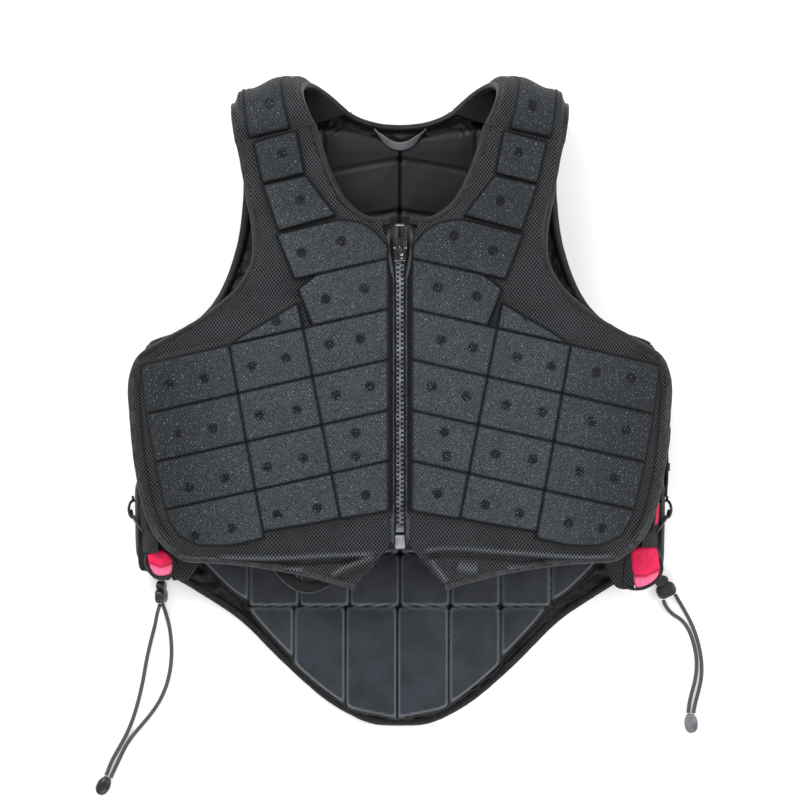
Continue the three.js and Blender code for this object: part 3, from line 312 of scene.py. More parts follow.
def swept(part, path, section, size=1.0, roll=0.0, ends=True):
    """Sweeps a section, offsets across and up, along a path. size and roll may vary along it."""
    path = np.asarray(path, float)
    _, across, rise = frames(path)
    size = np.broadcast_to(np.asarray(size, float), (len(path),))[:, None]
    roll = np.broadcast_to(np.asarray(roll, float), (len(path),))[:, None]
    side = across * np.cos(roll) + rise * np.sin(roll)
    top = rise * np.cos(roll) - across * np.sin(roll)
    shape = section[None] * size[:, :, None]
    points = path[:, None] + side[:, None] * shape[..., :1] + top[:, None] * shape[..., 1:]
    along = run_of(path)[:, None] * np.ones(len(section))
    around = np.linspace(0, 1, len(section)) * np.ones((len(path), 1))
    part.grid(points, along=along, around=around)
    if ends:
        part.cap(points[0, :-1], path[0] - path[1], along=0.0, around=0.5)
        part.cap(points[-1, :-1], path[-1] - path[-2], along=along[-1, 0], around=0.5)


def ball_ends(path, taper=3):
    """Section sizes that round off a path's ends."""
    n = len(path)
    i = np.minimum(np.arange(n), n - 1 - np.arange(n))
    return np.sqrt(np.clip(1 - (1 - np.minimum(i, taper) / taper) ** 2, 0.02, 1))


def stitched(part, path, spacing=3.6, stitch=2.5, thread=0.42):
    """Short threads along a path."""
    sample = 0.9
    line = resampled(path, max(2, int(length_of(path) / sample)))
    each = int(round(stitch / sample))
    at = 0.0
    section = oval(2 * thread, 2 * thread, 5)
    while at + each < len(line):
        i = int(at)
        piece = line[i : i + each + 1].copy()
        piece[[0, -1], 2] -= thread
        swept(part, piece, section, size=[0.5, *[1.0] * (each - 1), 0.5], ends=False)
        at += spacing / sample


def corner_turns(steps):
    """The signs of each corner of a rounded rectangle, with the directions round that corner."""
    for k, (sx, sy) in enumerate([(1, 1), (-1, 1), (-1, -1), (1, -1)]):
        for a in np.linspace(0, math.pi / 2, steps):
            b = a + k * math.pi / 2
            yield sx, sy, math.cos(b), math.sin(b)


def rounded_box(part, centre, size, corner):
    """A box with rounded edges and corners."""
    steps = 5
    half = np.asarray(size, float) / 2
    corner = min(corner, half.min() * 0.98)
    inner = half - corner
    ring = array(*((sx * inner[0], sy * inner[1], c, s) for sx, sy, c, s in corner_turns(steps)))
    ring = np.vstack([ring, ring[:1]])
    rows = []
    for tilt in np.linspace(-math.pi / 2, math.pi / 2, 2 * steps):
        out = corner * math.cos(tilt)
        z = corner * math.sin(tilt) + (inner[2] if tilt > 0 else -inner[2])
        rows.append(np.column_stack([ring[:, :2] + out * ring[:, 2:], np.full(len(ring), z)]))
    points = np.array(rows) + centre
    part.grid(points)
    part.cap(points[0, :-1], -UP)
    part.cap(points[-1, :-1], UP)


def pillow(part, outline, foot, head, edge, dome, rings=9):
    """A flat piece with rounded edges and domed faces, over a closed smooth plan outline."""
    loop = np.vstack([outline, outline[:1]])
    normals = shifted(np.vstack([outline[-2:], outline, outline[:2]]), 1.0)[2:-2] - outline
    normals = np.vstack([normals, normals[:1]])
    middle = outline.mean(0)
    levels = []
    for side in (-1, 1):
        rows = []
        for t in np.linspace(0, math.pi / 2, 6):
            inset = edge * (1 - math.cos(t))
            z = (foot + head) / 2 + side * ((head - foot) / 2 - edge * (1 - math.sin(t)))
            rows.append(np.column_stack([loop + normals * inset, np.full(len(loop), z)]))
        rim = rows[-1]
        for s in np.linspace(1, 0.02, rings)[1:]:
            ring = rim.copy()
            ring[:, :2] = middle + (rim[:, :2] - middle) * s
            ring[:, 2] += side * dome * (1 - s * s)
            rows.append(ring)
        levels.append(np.array(rows))
    whole = np.concatenate([levels[0][::-1], levels[1]])
    part.grid(whole)
    part.cap(whole[0, :-1], -UP)
    part.cap(whole[-1, :-1], UP)


def closed_curve(corners, count):
    """A smooth closed outline through its corners, anticlockwise."""
    p = np.asarray(corners, float)
    p = np.vstack([p[-2:], p, p[:3]])
    return turned_left(resampled(dense(p)[80:-80], count)[:-1])


# Materials


def colour(*display):
    """Linear colour from display values up to 255."""
    shares = [v / 255 for v in display]
    return (*(v / 12.92 if v < 0.0404 else ((v + 0.055) / 1.055) ** 2.4 for v in shares), 1.0)


class Look:
    def __init__(self, name, **sockets):
        self.material = bpy.data.materials.new(name)
        self.material.use_nodes = True
        self.tree = self.material.node_tree
        self.shader = self.tree.nodes["Principled BSDF"]
        for key, value in sockets.items():
            self.shader.inputs[key.replace("_", " ")].default_value = value
        place = self.tree.nodes.new("ShaderNodeTexCoord").outputs["Object"]
        self.mm = self.vector("SCALE", place, scale=1000.0)

    def feed(self, socket, value):
        if isinstance(value, bpy.types.NodeSocket):
            self.tree.links.new(value, socket)
        else:
            socket.default_value = value

    def set(self, **sockets):
        for key, value in sockets.items():
            self.feed(self.shader.inputs[key.replace("_", " ")], value)

    def vector(self, operation, a, b=None, scale=None):
        node = self.tree.nodes.new("ShaderNodeVectorMath")
        node.operation = operation
        self.feed(node.inputs[0], a)
        if b is not None:
            self.feed(node.inputs[1], b)
        if scale is not None:
            self.feed(node.inputs["Scale"], scale)
        return node.outputs[0]

    def math(self, operation, a, b=0.0, c=0.0):
        node = self.tree.nodes.new("ShaderNodeMath")
        node.operation = operation
        for socket, value in zip(node.inputs, (a, b, c)):
            self.feed(socket, value)
        return node.outputs[0]

    def parts(self, vector):
        node = self.tree.nodes.new("ShaderNodeSeparateXYZ")
        self.feed(node.inputs[0], vector)
        return node.outputs[0], node.outputs[1], node.outputs[2]

    def value(self, name):
        node = self.tree.nodes.new("ShaderNodeAttribute")
        node.attribute_name = name
        return node.outputs["Fac"]

    def ramp(self, value, low, high, to_low=0.0, to_high=1.0):
        node = self.tree.nodes.new("ShaderNodeMapRange")
        node.interpolation_type = "SMOOTHSTEP"
        inputs = {"Value": value, "From Min": low, "From Max": high, "To Min": to_low, "To Max": to_high}
        for key, v in inputs.items():
            self.feed(node.inputs[key], v)
        return node.outputs[0]

    def mix(self, share, a, b):
        node = self.tree.nodes.new("ShaderNodeMix")
        node.data_type = "RGBA"
        self.feed(node.inputs[0], share)
        self.feed(node.inputs[6], a)
        self.feed(node.inputs[7], b)
        return node.outputs[2]

    def grain(self, size, detail=2.0, rough=0.5, vector=None):
        """Noise with features of that size in millimetres."""
        node = self.tree.nodes.new("ShaderNodeTexNoise")
        self.feed(node.inputs["Vector"], vector or self.mm)
        node.inputs["Scale"].default_value = 1 / size
        node.inputs["Detail"].default_value = detail
        node.inputs["Roughness"].default_value = rough
        return node.outputs["Fac"]

    def bumped(self, height, depth, strength=1.0, under=None):
        """Bump from a height of 0 to 1 that stands for that many millimetres."""
        node = self.tree.nodes.new("ShaderNodeBump")
        node.inputs["Distance"].default_value = depth * 0.001
        node.inputs["Strength"].default_value = strength
        self.feed(node.inputs["Height"], height)
        if under is not None:
            self.feed(node.inputs["Normal"], under)
        return node.outputs[0]

    def wave(self, value, pitch):
        """0 to 1 and back over each pitch."""
        turn = self.math("MULTIPLY", value, 2 * math.pi / pitch)
        return self.math("MULTIPLY_ADD", self.math("SINE", turn), 0.5, 0.5)


def net_of(look, plane, pitch):
    """Knitted net: 1 on its threads and 0 in its holes."""
    x, y, z = look.parts(look.mm)
    a, b = (x, y) if plane == "plan" else (y, z)
    warp = look.grain(30, 1)
    a = look.math("MULTIPLY_ADD", warp, 6.0, a)
    plus = look.math("ADD", a, look.math("MULTIPLY", b, 0.8))
    minus = look.math("SUBTRACT", a, look.math("MULTIPLY", b, 0.8))
    turns = [look.math("MULTIPLY", v, math.pi / pitch) for v in (plus, minus)]
    first, second = (look.math("ABSOLUTE", look.math("SINE", turn)) for turn in turns)
    first = look.ramp(first, 0.1, 0.48, 0.9, 0.0)
    second = look.ramp(second, 0.08, 0.42, 1.0, 0.0)
    return look.math("MAXIMUM", first, second)


def mesh_fabric(name, plane="plan"):
    """Black net over foam or lining.

    foam is 1 on a block, groove 1 between blocks, where painted shade darkens the net, dot 1 over a hole in
    the foam, painted as a near-black disc, and ridge 1 on a raised fold's crest, where the threads get a
    painted highlight.
    """
    look = Look(name, Specular_IOR_Level=0.16, Sheen_Weight=0.02, Sheen_Roughness=0.4)
    threads = net_of(look, plane, 3.1)
    foam = look.value("foam")
    groove = look.value("groove")
    dot = look.value("dot")
    patchy = look.grain(26, 3)
    speck = look.grain(1.25, 1.5, 0.7)
    rough_foam = look.ramp(speck, 0.34, 0.66)
    glint = look.ramp(look.grain(0.9, 0.0), 0.71, 0.8)
    over_foam = look.mix(rough_foam, colour(13, 15, 17), colour(70, 75, 80))
    over_foam = look.mix(look.ramp(patchy, 0.35, 0.7, 0.0, 0.25), over_foam, colour(34, 35, 44))
    x, y, _ = look.parts(look.mm)
    # Painted shade: the net over the blocks darkens towards the sides and towards the neck end, where the
    # front turns away from the light.
    away = look.ramp(look.math("ABSOLUTE", x), 115, 230, 0.0, 0.75)
    high = look.ramp(look.math("ADD", y, look.math("MULTIPLY", x, 0.35)), 190, 80, 0.65, 0.0)
    shade = look.math("MAXIMUM", away, high)
    over_foam = look.mix(shade, over_foam, colour(20, 22, 24))
    # Painted shade: the holes in the foam are painted as near-black discs.
    over_foam = look.mix(dot, over_foam, colour(2, 2, 3))
    hole = look.mix(foam, colour(1, 1, 2), over_foam)
    loose = look.mix(patchy, colour(60, 63, 66), colour(98, 102, 106))
    # The threads over the blocks darken with the same painted shade.
    taut = look.mix(shade, colour(69, 73, 77), colour(44, 47, 50))
    strand = look.mix(foam, loose, taut)
    # Threads across the holes are darkened with the same painted shade.
    strand = look.mix(look.math("MULTIPLY", dot, 0.75), strand, colour(26, 28, 30))
    # Painted highlight: threads on the crests of the flap's folds are lightened.
    strand = look.mix(look.math("MULTIPLY", look.value("ridge"), 0.75), strand, colour(158, 163, 168))
    base = look.mix(threads, hole, strand)
    shine = look.math("MULTIPLY", glint, look.ramp(foam, 0.5, 1.0, 0.1, 0.65))
    base = look.mix(shine, base, colour(158, 163, 168))
    # Painted shade: the net turns near black wherever the groove mask is set, in the grooves between blocks,
    # beside the zip, in the side recess and under the straps.
    base = look.mix(look.math("MULTIPLY", groove, 0.82), base, colour(6, 7, 8))
    height = look.math("ADD", look.math("MULTIPLY", threads, 0.8), look.math("MULTIPLY", speck, 0.5))
    normal = look.bumped(height, 0.4, 0.8)
    rough = look.ramp(glint, 0.0, 1.0, 0.6, 0.38)
    look.set(Base_Color=base, Roughness=rough, Normal=normal)
    return look.material


def satin(name, dark, light, rough, weave=0.5, crease=0.5, crease_size=14):
    """Closely woven cloth with soft creases."""
    look = Look(name, Specular_IOR_Level=0.3, Sheen_Weight=0.06, Sheen_Roughness=0.35)
    x, y, z = look.parts(look.mm)
    warp = look.wave(look.math("ADD", x, z), weave)
    weft = look.wave(look.math("ADD", y, z), weave)
    cloth = look.math("MULTIPLY", warp, weft)
    folds = look.grain(crease_size, 4, 0.6)
    fine = look.grain(1.6, 2, 0.6)
    shade = look.math("ADD", look.math("MULTIPLY", folds, 0.7), look.math("MULTIPLY", fine, 0.3))
    base = look.mix(look.ramp(shade, 0.3, 0.7), dark, light)
    normal = look.bumped(folds, crease, 0.7)
    normal = look.bumped(look.math("ADD", cloth, fine), 0.12, 0.6, under=normal)
    look.set(Base_Color=base, Roughness=look.ramp(fine, 0.3, 0.7, rough - 0.06, rough + 0.08), Normal=normal)
    return look.material


def ribbed(name, dark, light, rib, rough=0.6):
    """Webbing or ribbon with ribs across it. along is the distance along the strap."""
    look = Look(name, Specular_IOR_Level=0.2, Sheen_Weight=0.05)
    wave = look.wave(look.value("along"), rib)
    side = look.wave(look.value("around"), 0.08)
    fine = look.grain(0.9, 2)
    shade = look.math("MULTIPLY", wave, look.math("MULTIPLY_ADD", side, 0.35, 0.65))
    base = look.mix(shade, dark, light)
    normal = look.bumped(look.math("ADD", shade, fine), 0.3, 0.8)
    look.set(Base_Color=base, Roughness=look.ramp(fine, 0.3, 0.7, rough - 0.08, rough + 0.08), Normal=normal)
    return look.material


def braided(name, dark, light, pitch=2.6, turns=4):
    """Round braided cord. along is the distance along it and around the share of a turn."""
    look = Look(name, Specular_IOR_Level=0.3, Sheen_Weight=0.1, Roughness=0.75)
    along = look.math("DIVIDE", look.value("along"), pitch)
    around = look.math("MULTIPLY", look.value("around"), turns)
    first = look.wave(look.math("ADD", along, around), 1.0)
    second = look.wave(look.math("SUBTRACT", along, around), 1.0)
    plait = look.math("MAXIMUM", first, second)
    fine = look.grain(0.5, 2)
    base = look.mix(look.ramp(plait, 0.5, 0.98), dark, light)
    normal = look.bumped(look.math("MULTIPLY_ADD", fine, 0.3, plait), 0.3, 0.9)
    look.set(Base_Color=base, Normal=normal)
    return look.material


def moulded(name, dark, light, rough, metallic=0.0, depth=0.06, coat=0.0):
    """Moulded plastic or cast metal, with fine grit and slight wear."""
    look = Look(name, Metallic=metallic, IOR=1.46, Coat_Weight=coat)
    fine = look.grain(0.7, 3, 0.6)
    wide = look.grain(9, 3, 0.6)
    base = look.mix(look.ramp(wide, 0.35, 0.7), dark, light)
    rubbed = look.ramp(look.grain(2.4, 4, 0.7), 0.55, 0.75)
    look.set(
        Base_Color=base,
        Roughness=look.math("MULTIPLY_ADD", rubbed, 0.14, rough),
        Normal=look.bumped(fine, depth, 0.6),
    )
    return look.material


def pink_cloth(name):
    """Pink-red stretch cloth with fine ribs.

    seam is 1 along a crease, where painted shade darkens the cloth, pale 1 towards the hem and cover 1 where
    the black edge lies over it.
    """
    look = Look(name, IOR=1.45, Sheen_Weight=0.1, Sheen_Roughness=0.4)
    x, y, _ = look.parts(look.mm)
    rib = look.wave(look.math("ADD", x, look.math("MULTIPLY", y, 0.4)), 1.1)
    folds = look.grain(7, 3, 0.6)
    fine = look.grain(1.2, 2)
    shade = look.math("ADD", look.math("MULTIPLY", folds, 0.75), look.math("MULTIPLY", rib, 0.25))
    base = look.mix(look.ramp(shade, 0.3, 0.75), colour(228, 4, 66), colour(255, 24, 100))
    base = look.mix(look.math("MULTIPLY", look.value("pale"), 0.6), base, colour(255, 140, 182))
    # Painted shade: the cloth darkens to deep red along the crease.
    base = look.mix(look.math("MULTIPLY", look.value("seam"), 0.75), base, colour(96, 4, 30))
    base = look.mix(look.value("cover"), base, colour(9, 10, 11))
    normal = look.bumped(look.math("MULTIPLY_ADD", fine, 0.4, shade), 0.5, 0.8)
    look.set(Base_Color=base, Roughness=look.ramp(fine, 0.3, 0.7, 0.5, 0.66), Normal=normal)
    return look.material


NET = mesh_fabric("net_over_foam")
SIDE_NET = mesh_fabric("side_net", plane="side")
BINDING = satin("binding_tape", colour(7, 8, 9), colour(30, 32, 34), 0.42, 0.8, 0.6, 5)
WEBBING = ribbed("webbing", colour(14, 15, 16), colour(46, 48, 50), 1.5)
GREY_RIBBON = ribbed("grey_ribbon", colour(92, 94, 98), colour(150, 153, 158), 1.1, 0.42)
ZIP_TAPE = ribbed("zip_tape", colour(34, 35, 38), colour(70, 72, 76), 1.2)
CORD = braided("elastic_cord", colour(36, 38, 38), colour(92, 95, 95))
THREAD = satin("thread", colour(20, 21, 22), colour(62, 64, 66), 0.55, weave=0.5, crease=0.1)
BLACK_PLASTIC = moulded("black_plastic", colour(26, 27, 28), colour(48, 50, 52), 0.34)
GREY_PLASTIC = moulded("grey_plastic", colour(86, 88, 94), colour(116, 118, 124), 0.4)
TOOTH = moulded("zip_plastic", colour(70, 72, 76), colour(128, 131, 135), 0.24, coat=0.5)
BOX_PLASTIC = moulded("zip_box_plastic", colour(104, 106, 110), colour(150, 152, 156), 0.36, coat=0.2)
METAL = moulded("zip_metal", colour(22, 23, 25), colour(52, 54, 57), 0.2, metallic=0.5, depth=0.03, coat=0.5)
# Bright metal for painted highlights on the zip slider and pull.
HIGHLIGHT_METAL = moulded("metal_painted_highlight", colour(150, 152, 155), colour(226, 228, 230), 0.22, metallic=0.7)
# A lighter copy of the binding cloth: painted highlight on the rolled front edge beside the zip.
FOLD = satin("folded_edge", colour(34, 37, 40), colour(72, 76, 80), 0.6, 1.5, 0.6, 5)
# A lighter copy of the binding tape for the front hem: painted highlight along the hem binding.
LIT_HEM_TAPE = satin("hem_tape_painted_highlight", colour(12, 13, 15), colour(58, 61, 64), 0.45, 0.8, 0.8, 5)
# Near-black ribbon for the hem loop, darker than the webbing: partly painted shade inside the loop.
BLACK_RIBBON = satin("black_ribbon", colour(3, 3, 4), colour(12, 13, 14), 0.6, weave=0.8)
PINK = pink_cloth("pink_cloth")
LABEL = satin("blank_label", colour(22, 23, 25), colour(60, 62, 65), 0.5, weave=0.7, crease=0.2)

# The part's own sizes and tables

BODY_LENGTH = 608
HALF_WIDTH = 250
FRONT_STEPS = 22
BACK_STEPS = 20
GROOVE_HALF = 0.9
BLOCK_RISE = 7.5
BACK_RISE = 16
ROLL_DROP = 2.4
HOLLOW = 7.3
DOT_EDGE = (5.6, 3.6)
SIDES = (("l", 1), ("r", -1))


def y_at(down):
    return BODY_LENGTH * (0.5 - down)


def place(rows):
    p = np.asarray(rows, float)
    return np.stack([p[..., 0] * HALF_WIDTH, y_at(p[..., 1])], -1)


def tabled(rows, column, at):
    t = np.asarray(rows, float)
    out = np.full(np.shape(at), t[0, column])
    for low, high in zip(t[:-1], t[1:]):
        step = lerp(low[column], high[column], smooth(at, low[0], high[0]))
        out = np.where(np.asarray(at) > low[0], step, out)
    return out


CREST = [(0.08, 0.85), (0.32, 1), (0.56, 1), (0.7, 0.93), (0.79, 0.76)]


def front_height(x, y):
    out = np.abs(x) / HALF_WIDTH
    return 92 * tabled(CREST, 1, 0.5 - np.asarray(y) / BODY_LENGTH) - 34 * out**2.6


def back_height(x):
    t = np.clip((np.abs(x) - 130) / 120, 0, 1)
    return 18 * t * t


FRONT_NECK = [(0.112, 0.219), (0.185, 0.198), (0.239, 0.16), (0.282, 0.1135), (0.304, 0.082)]
FRONT_SIDE = [
    *[(0.791, 0.74), (0.883, 0.71), (0.942, 0.664), (0.979, 0.589), (0.998, 0.51), (1, 0.4645)],
    *[(0.965, 0.427), (0.874, 0.403), (0.742, 0.373), (0.648, 0.345), (0.582, 0.318), (0.542, 0.284)],
    *[(0.539, 0.243), (0.562, 0.191), (0.592, 0.124), (0.606, 0.104)],
]
BACK_NECK = [(0, 0.0664), (0.06, 0.0652), (0.12, 0.0603), (0.18, 0.0512)]
TAIL = [(0, 1), (0.09, 0.998), (0.18, 0.986)]
BACK_SIDE = [
    *[(0.18, 0.986), (0.3, 0.954), (0.451, 0.8984), (0.6, 0.8377), (0.768, 0.7903), (0.895, 0.7582)],
    *[(0.966, 0.73), (0.974, 0.666), (0.974, 0.56), (0.97, 0.45), (0.945, 0.407), (0.825, 0.386)],
    *[(0.722, 0.3523), (0.657, 0.306), (0.61, 0.244), (0.592, 0.1822), (0.59, 0.14), (0.595, 0.105)],
]
FOAM_AREA = [
    *[(0.043, 0.659), (0.245, 0.673), (0.49, 0.7), (0.6, 0.712), (0.73, 0.712), (0.81, 0.698)],
    *[(0.85, 0.671), (0.9, 0.58), (0.935, 0.5), (0.952, 0.439), (0.632, 0.412), (0.59, 0.402)],
    *[(0.37, 0.329), (0.387, 0.3115), (0.449, 0.247), (0.224, 0.2245)],
    *[(0.145, 0.229), (0.08, 0.245), (0.043, 0.265)],
]
STRAP_BLOCKS = [
    [(0.535, 0.107), (0.378, 0.09), (0.346, 0.155), (0.5, 0.17)],
    [(0.5, 0.172), (0.344, 0.158), (0.232, 0.219), (0.441, 0.242)],
]
ACROSS = [
    *[(0, 0.008, 0.4), (0.08, 0, 0.62), (0.28, 0.001, 0.66), (0.33, 0.002, 0.9), (0.8, 0.02, 0.9)],
    *[(0.86, 0.0245, 0.66), (0.94, 0.032, 0.6), (1, 0.0485, 0.4)],
]
zip_foot = array(9.5, y_at(0.713))
zip_head = array(9.5, y_at(0.219))
flap_corner = place((0.165, 0.781))
strap_front = [place(FRONT_NECK[-1]), place(FRONT_SIDE[-1])]
strap_back = [place(BACK_NECK[-1]), place(BACK_SIDE[-1])]


def front_blocks():
    area = place(FOAM_AREA)
    down = unit(array(-0.223, -1))
    inner = place([(0.387, 0.3115), (0.217, 0.669)])
    outer = place([(0.622, 0.408), (0.49, 0.7084)])

    def outward(seam):
        a = unit(seam[1] - seam[0])
        return array(-a[1], a[0])

    blocks = [place(b) for b in STRAP_BLOCKS]
    for name, first, rows in (("inner", -1, 6), ("middle", 0, 5), ("outer", 1, 4)):
        for row in range(first, first + rows):
            top, foot = (array(15, y_at(0.285 + k * 0.0752)) for k in (row, row + 1))
            p = clipped(area, foot, -down)
            if row >= 0:
                p = clipped(p, top, down)
            if name == "inner" and row >= 0:
                p = clipped(p, inner[0], -outward(inner))
            if name != "inner":
                p = clipped(p, inner[0], outward(inner))
            if name == "middle":
                p = clipped(p, outer[0], -outward(outer))
            if name == "outer":
                p = clipped(p, outer[0], outward(outer))
            blocks.append(p)
    return blocks


BLOCKS = front_blocks()

# Holes in the foam that show through the net, in millimetres: wearer's left, then wearer's right mirrored.
DOTS = {
    1: [
        *[(121, 268), (108, 229), (91, 184), (49, 152), (84, 139), (34, 105), (69, 97), (37, 58), (66, 51)],
        *[(29, 16), (60, 7), (40, -25), (42, -47), (34, -81), (115, 80), (106, 43), (137, 34), (96, -1)],
        *[(129, -7), (86, -45), (120, -50), (77, -91), (108, -99)],
        *[(178, 29), (211, 24), (174, -16), (206, -24)],
        *[(163, -61), (195, -68), (153, -108), (184, -113)],
    ],
    -1: [
        *[(119, 270), (107, 228), (90, 185), (89, 137), (53, 147), (67, 95), (32, 104), (64, 54), (36, 59)],
        *[(58, 8), (27, 16), (40, -26), (40, -47), (31, -82), (112, 75), (134, 34), (103, 42), (127, -10)],
        *[(93, -5), (120, -57), (87, -49), (111, -100), (75, -94)],
        *[(211, 18), (178, 23), (202, -27), (170, -22)],
        *[(192, -76), (159, -67), (187, -120), (153, -113)],
    ],
}
# Folds of the loose flap: points, height and width of each ridge or valley, in millimetres.
FOLDS = {
    1: [
        ([(20, -134), (46, -130.5), (110, -135.5), (165, -139.5), (200, -139)], 2.6, 2.6),
        ([(22, -139.5), (46, -137), (110, -142), (165, -146), (196, -145)], -2.4, 2.8),
        ([(52, -146), (60, -149.5), (72, -150)], 2.6, 5.0),
        ([(28, -141), (36, -153), (44, -163)], 1.8, 3.0),
        ([(96, -150), (128, -151), (160, -152)], 1.2, 3.6),
    ],
    -1: [
        ([(20, -135.6), (70, -138), (120, -140.5), (170, -140)], 2.6, 2.4),
        ([(24, -141), (70, -143.5), (120, -146), (168, -145)], -2.6, 2.8),
        ([(23, -138.5), (44, -146), (64, -156.5)], 2.4, 2.6),
        ([(30, -148), (46, -155), (58, -163)], -1.4, 3.2),
        ([(86, -151), (120, -152), (150, -151)], 1.4, 3.4),
    ],
}


def ride(piece, *nodes, slot=None, body="vest"):
    if nodes:
        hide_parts(*nodes)
    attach(piece, body)
    return piece


# Free elastic cords with their locks and end beads, made first after the camera

CORDS = {
    "l": {
        "lock": (249.4, -172.2, 4.9, 25.5, 0),
        "end": (274.8, -301.4, 4.3, 5),
        "strands": [
            [
                *[(259.8, -180.1, 4.8), (264, -187, 2.6), (269.8, -196.8, 2)],
                *[(275.9, -208.8, 2), (280.5, -221.4, 2)],
                *[(283.7, -234.8, 2), (285.1, -247.2, 2), (284.5, -260.2, 2), (281.9, -272.6, 2)],
                *[(279.4, -281.6, 2.6), (277, -291.8, 4.2)],
            ],
            [
                *[(248.6, -185.6, 4.8), (251.8, -192, 2.8), (257.6, -198.4, 2), (264.8, -203.2, 2)],
                *[(270.5, -209.6, 2), (274.6, -217.6, 2), (277.8, -227.8, 2), (279.9, -238.6, 2)],
                *[(280.2, -250.8, 2), (278.4, -263, 2), (275.4, -274.4, 2)],
                *[(273.4, -282.8, 2.6), (272.2, -291.8, 4.2)],
            ],
        ],
    },
    "r": {
        "lock": (-224.7, -176.8, 10.6, 0, 80),
        "end": (-280, -360.4, 4.3, -29),
        "strands": [
            [
                *[(-225.8, -188.9, 15), (-228.6, -197, 9.4), (-231.2, -208, 4.4), (-235.2, -223, 2)],
                *[(-239.3, -241, 2), (-243.1, -262, 2), (-247.1, -279.6, 2), (-252.1, -296.4, 2)],
                *[(-258.3, -311.6, 2), (-265.4, -324.8, 2), (-272.4, -337.6, 2.4), (-277.5, -350.8, 4.2)],
            ],
            [
                *[(-224, -188.4, 6.4), (-221.4, -197, 3.4), (-218.4, -208.6, 2)],
                *[(-216.5, -222, 2), (-216, -237, 2)],
                *[(-217.6, -253, 2), (-221.4, -267.6, 2), (-227.6, -281.2, 2), (-235.8, -293.4, 2)],
                *[(-244.8, -304.2, 2), (-252.6, -313.6, 2), (-259.4, -323.8, 2)],
                *[(-265.6, -336.4, 2.4), (-273.3, -353.1, 4.2)],
            ],
        ],
    },
}
CORD_DIAMETER = 3.6


def turned(points, turn, roll, at):
    """Points rolled about Y, turned about Z and moved, in degrees and millimetres."""
    r = math.radians(roll)
    t = math.radians(turn)
    x = points[..., 0] * math.cos(r) + points[..., 2] * math.sin(r)
    z = -points[..., 0] * math.sin(r) + points[..., 2] * math.cos(r)
    y = points[..., 1]
    return np.stack([x * math.cos(t) - y * math.sin(t), x * math.sin(t) + y * math.cos(t), z], -1) + at


def cord_lock(side, x, y, z, turn, roll):
    part = Part()
    corner = 5.4
    inner_x, inner_y, middle = 9.3 - corner, 6.8 - corner, 3.9
    outline = [
        [sx * inner_x + corner * c, sy * inner_y + corner * s - middle] for sx, sy, c, s in corner_turns(9)
    ]
    pillow(part, turned_left(outline), -4.3, 4.3, 2.6, 0.15)
    angle = np.linspace(0, 2 * math.pi, 40)[:-1]
    plunger = points_at(6.6 * np.cos(angle), 5.2 * np.sin(angle) + 5.6)
    pillow(part, turned_left(plunger), -3.9, 3.9, 2.0, 0.1)
    angle = np.linspace(0, 2 * math.pi, 41)
    for top in (-1, 1):
        for a, b, wide in ((5.6, 3.7, 0.9), (2.2, 1.4, 0.8)):
            ring = points_at(a * np.cos(angle), b * np.sin(angle) - middle, top * 4.25)
            swept(part, ring, oval(wide, 0.9, 8), ends=False)
    part.places = [turned(p, turn, roll, (x, y, z)) for p in part.places]
    piece = part.made(f"cord_lock_{side}_moulded", BLACK_PLASTIC)
    return ride(piece, f"cord_lock_{side}", slot="black_plastic")


def cord_end(side, x, y, z, turn):
    rows = [(-0.5, 0.3), (-0.46, 0.52), (-0.38, 0.74), (-0.28, 0.9), (-0.1, 0.99), (0.08, 1), (0.22, 0.9)]
    rows += [(0.34, 0.76), (0.4, 0.62), (0.42, 0.55), (0.45, 0.6), (0.48, 0.56), (0.5, 0.4)]
    angle = np.linspace(0, 2 * math.pi, 29)
    along, wide = array(*rows).T[:, :, None]
    points = points_at(wide * 6.4 * np.cos(angle), along * 18, wide * 3.9 * np.sin(angle))
    part = Part()
    points = turned(points, turn, 0, (x, y, z))
    part.grid(points)
    part.cap(points[0, :-1], points[0].mean(0) - points[1].mean(0))
    part.cap(points[-1, :-1], points[-1].mean(0) - points[-2].mean(0))
    look = GREY_PLASTIC if side == "l" else BLACK_PLASTIC
    piece = part.made(f"cord_end_{side}_moulded", look)
    return ride(piece, f"cord_end_{side}", slot="grey_plastic" if side == "l" else "black_plastic")


for side, cord in CORDS.items():
    lock = cord_lock(side, *cord["lock"])
    bead = cord_end(side, *cord["end"])
    for k, points in enumerate(cord["strands"], 1):
        route = centripetal(points)
        path = resampled(route, int(length_of(route) / 2))
        part = Part()
        swept(part, path, oval(CORD_DIAMETER, CORD_DIAMETER, 12))
        strand = part.made(f"cord_{side}_{k}_braided", CORD)
        ride(strand, f"cord_{side}_{k}", slot="elastic_cord")


# Front panels

ROW_SPLIT = 20
FRONT_COLUMNS = 190
FRONT_INSET = 3.6


def front_lines(inset, split):
    """Inner and outer edge of the front, with split points for each of the part's rows."""
    n = FRONT_STEPS * split
    neck = shifted(spaced([zip_head, *place(FRONT_NECK)], 8 * split), -inset)
    lift = array(0, inset)
    inner = np.vstack(
        [
            lerp(flap_corner + lift, zip_foot, np.linspace(0, 1, 2 * split, endpoint=False)[:, None]),
            lerp(zip_foot, zip_head - lift, np.linspace(0, 1, 12 * split, endpoint=False)[:, None]),
            neck,
        ]
    )
    outer = shifted(spaced(place(FRONT_SIDE), n), inset)
    inner[-1] = strap_front[0] + array(inset, 0)
    outer[-1] = strap_front[1] - array(inset, 0)
    return inner, outer


def front_plan(split, columns):
    inner, outer = front_lines(FRONT_INSET, split)
    across = np.concatenate([[0, 0.0018, 0.0036, 0.0056, 0.008], np.linspace(0.0105, 1, columns - 4)])
    plan = inner[:, None] * (1 - across[:, None]) + outer[:, None] * across[:, None]
    step = np.arange(len(inner)) / split
    fade = np.maximum(0, 1 - step / 3)[:, None]
    plan[..., 1] += 0.0115 * BODY_LENGTH * fade * 4 * across * (1 - across)
    return plan


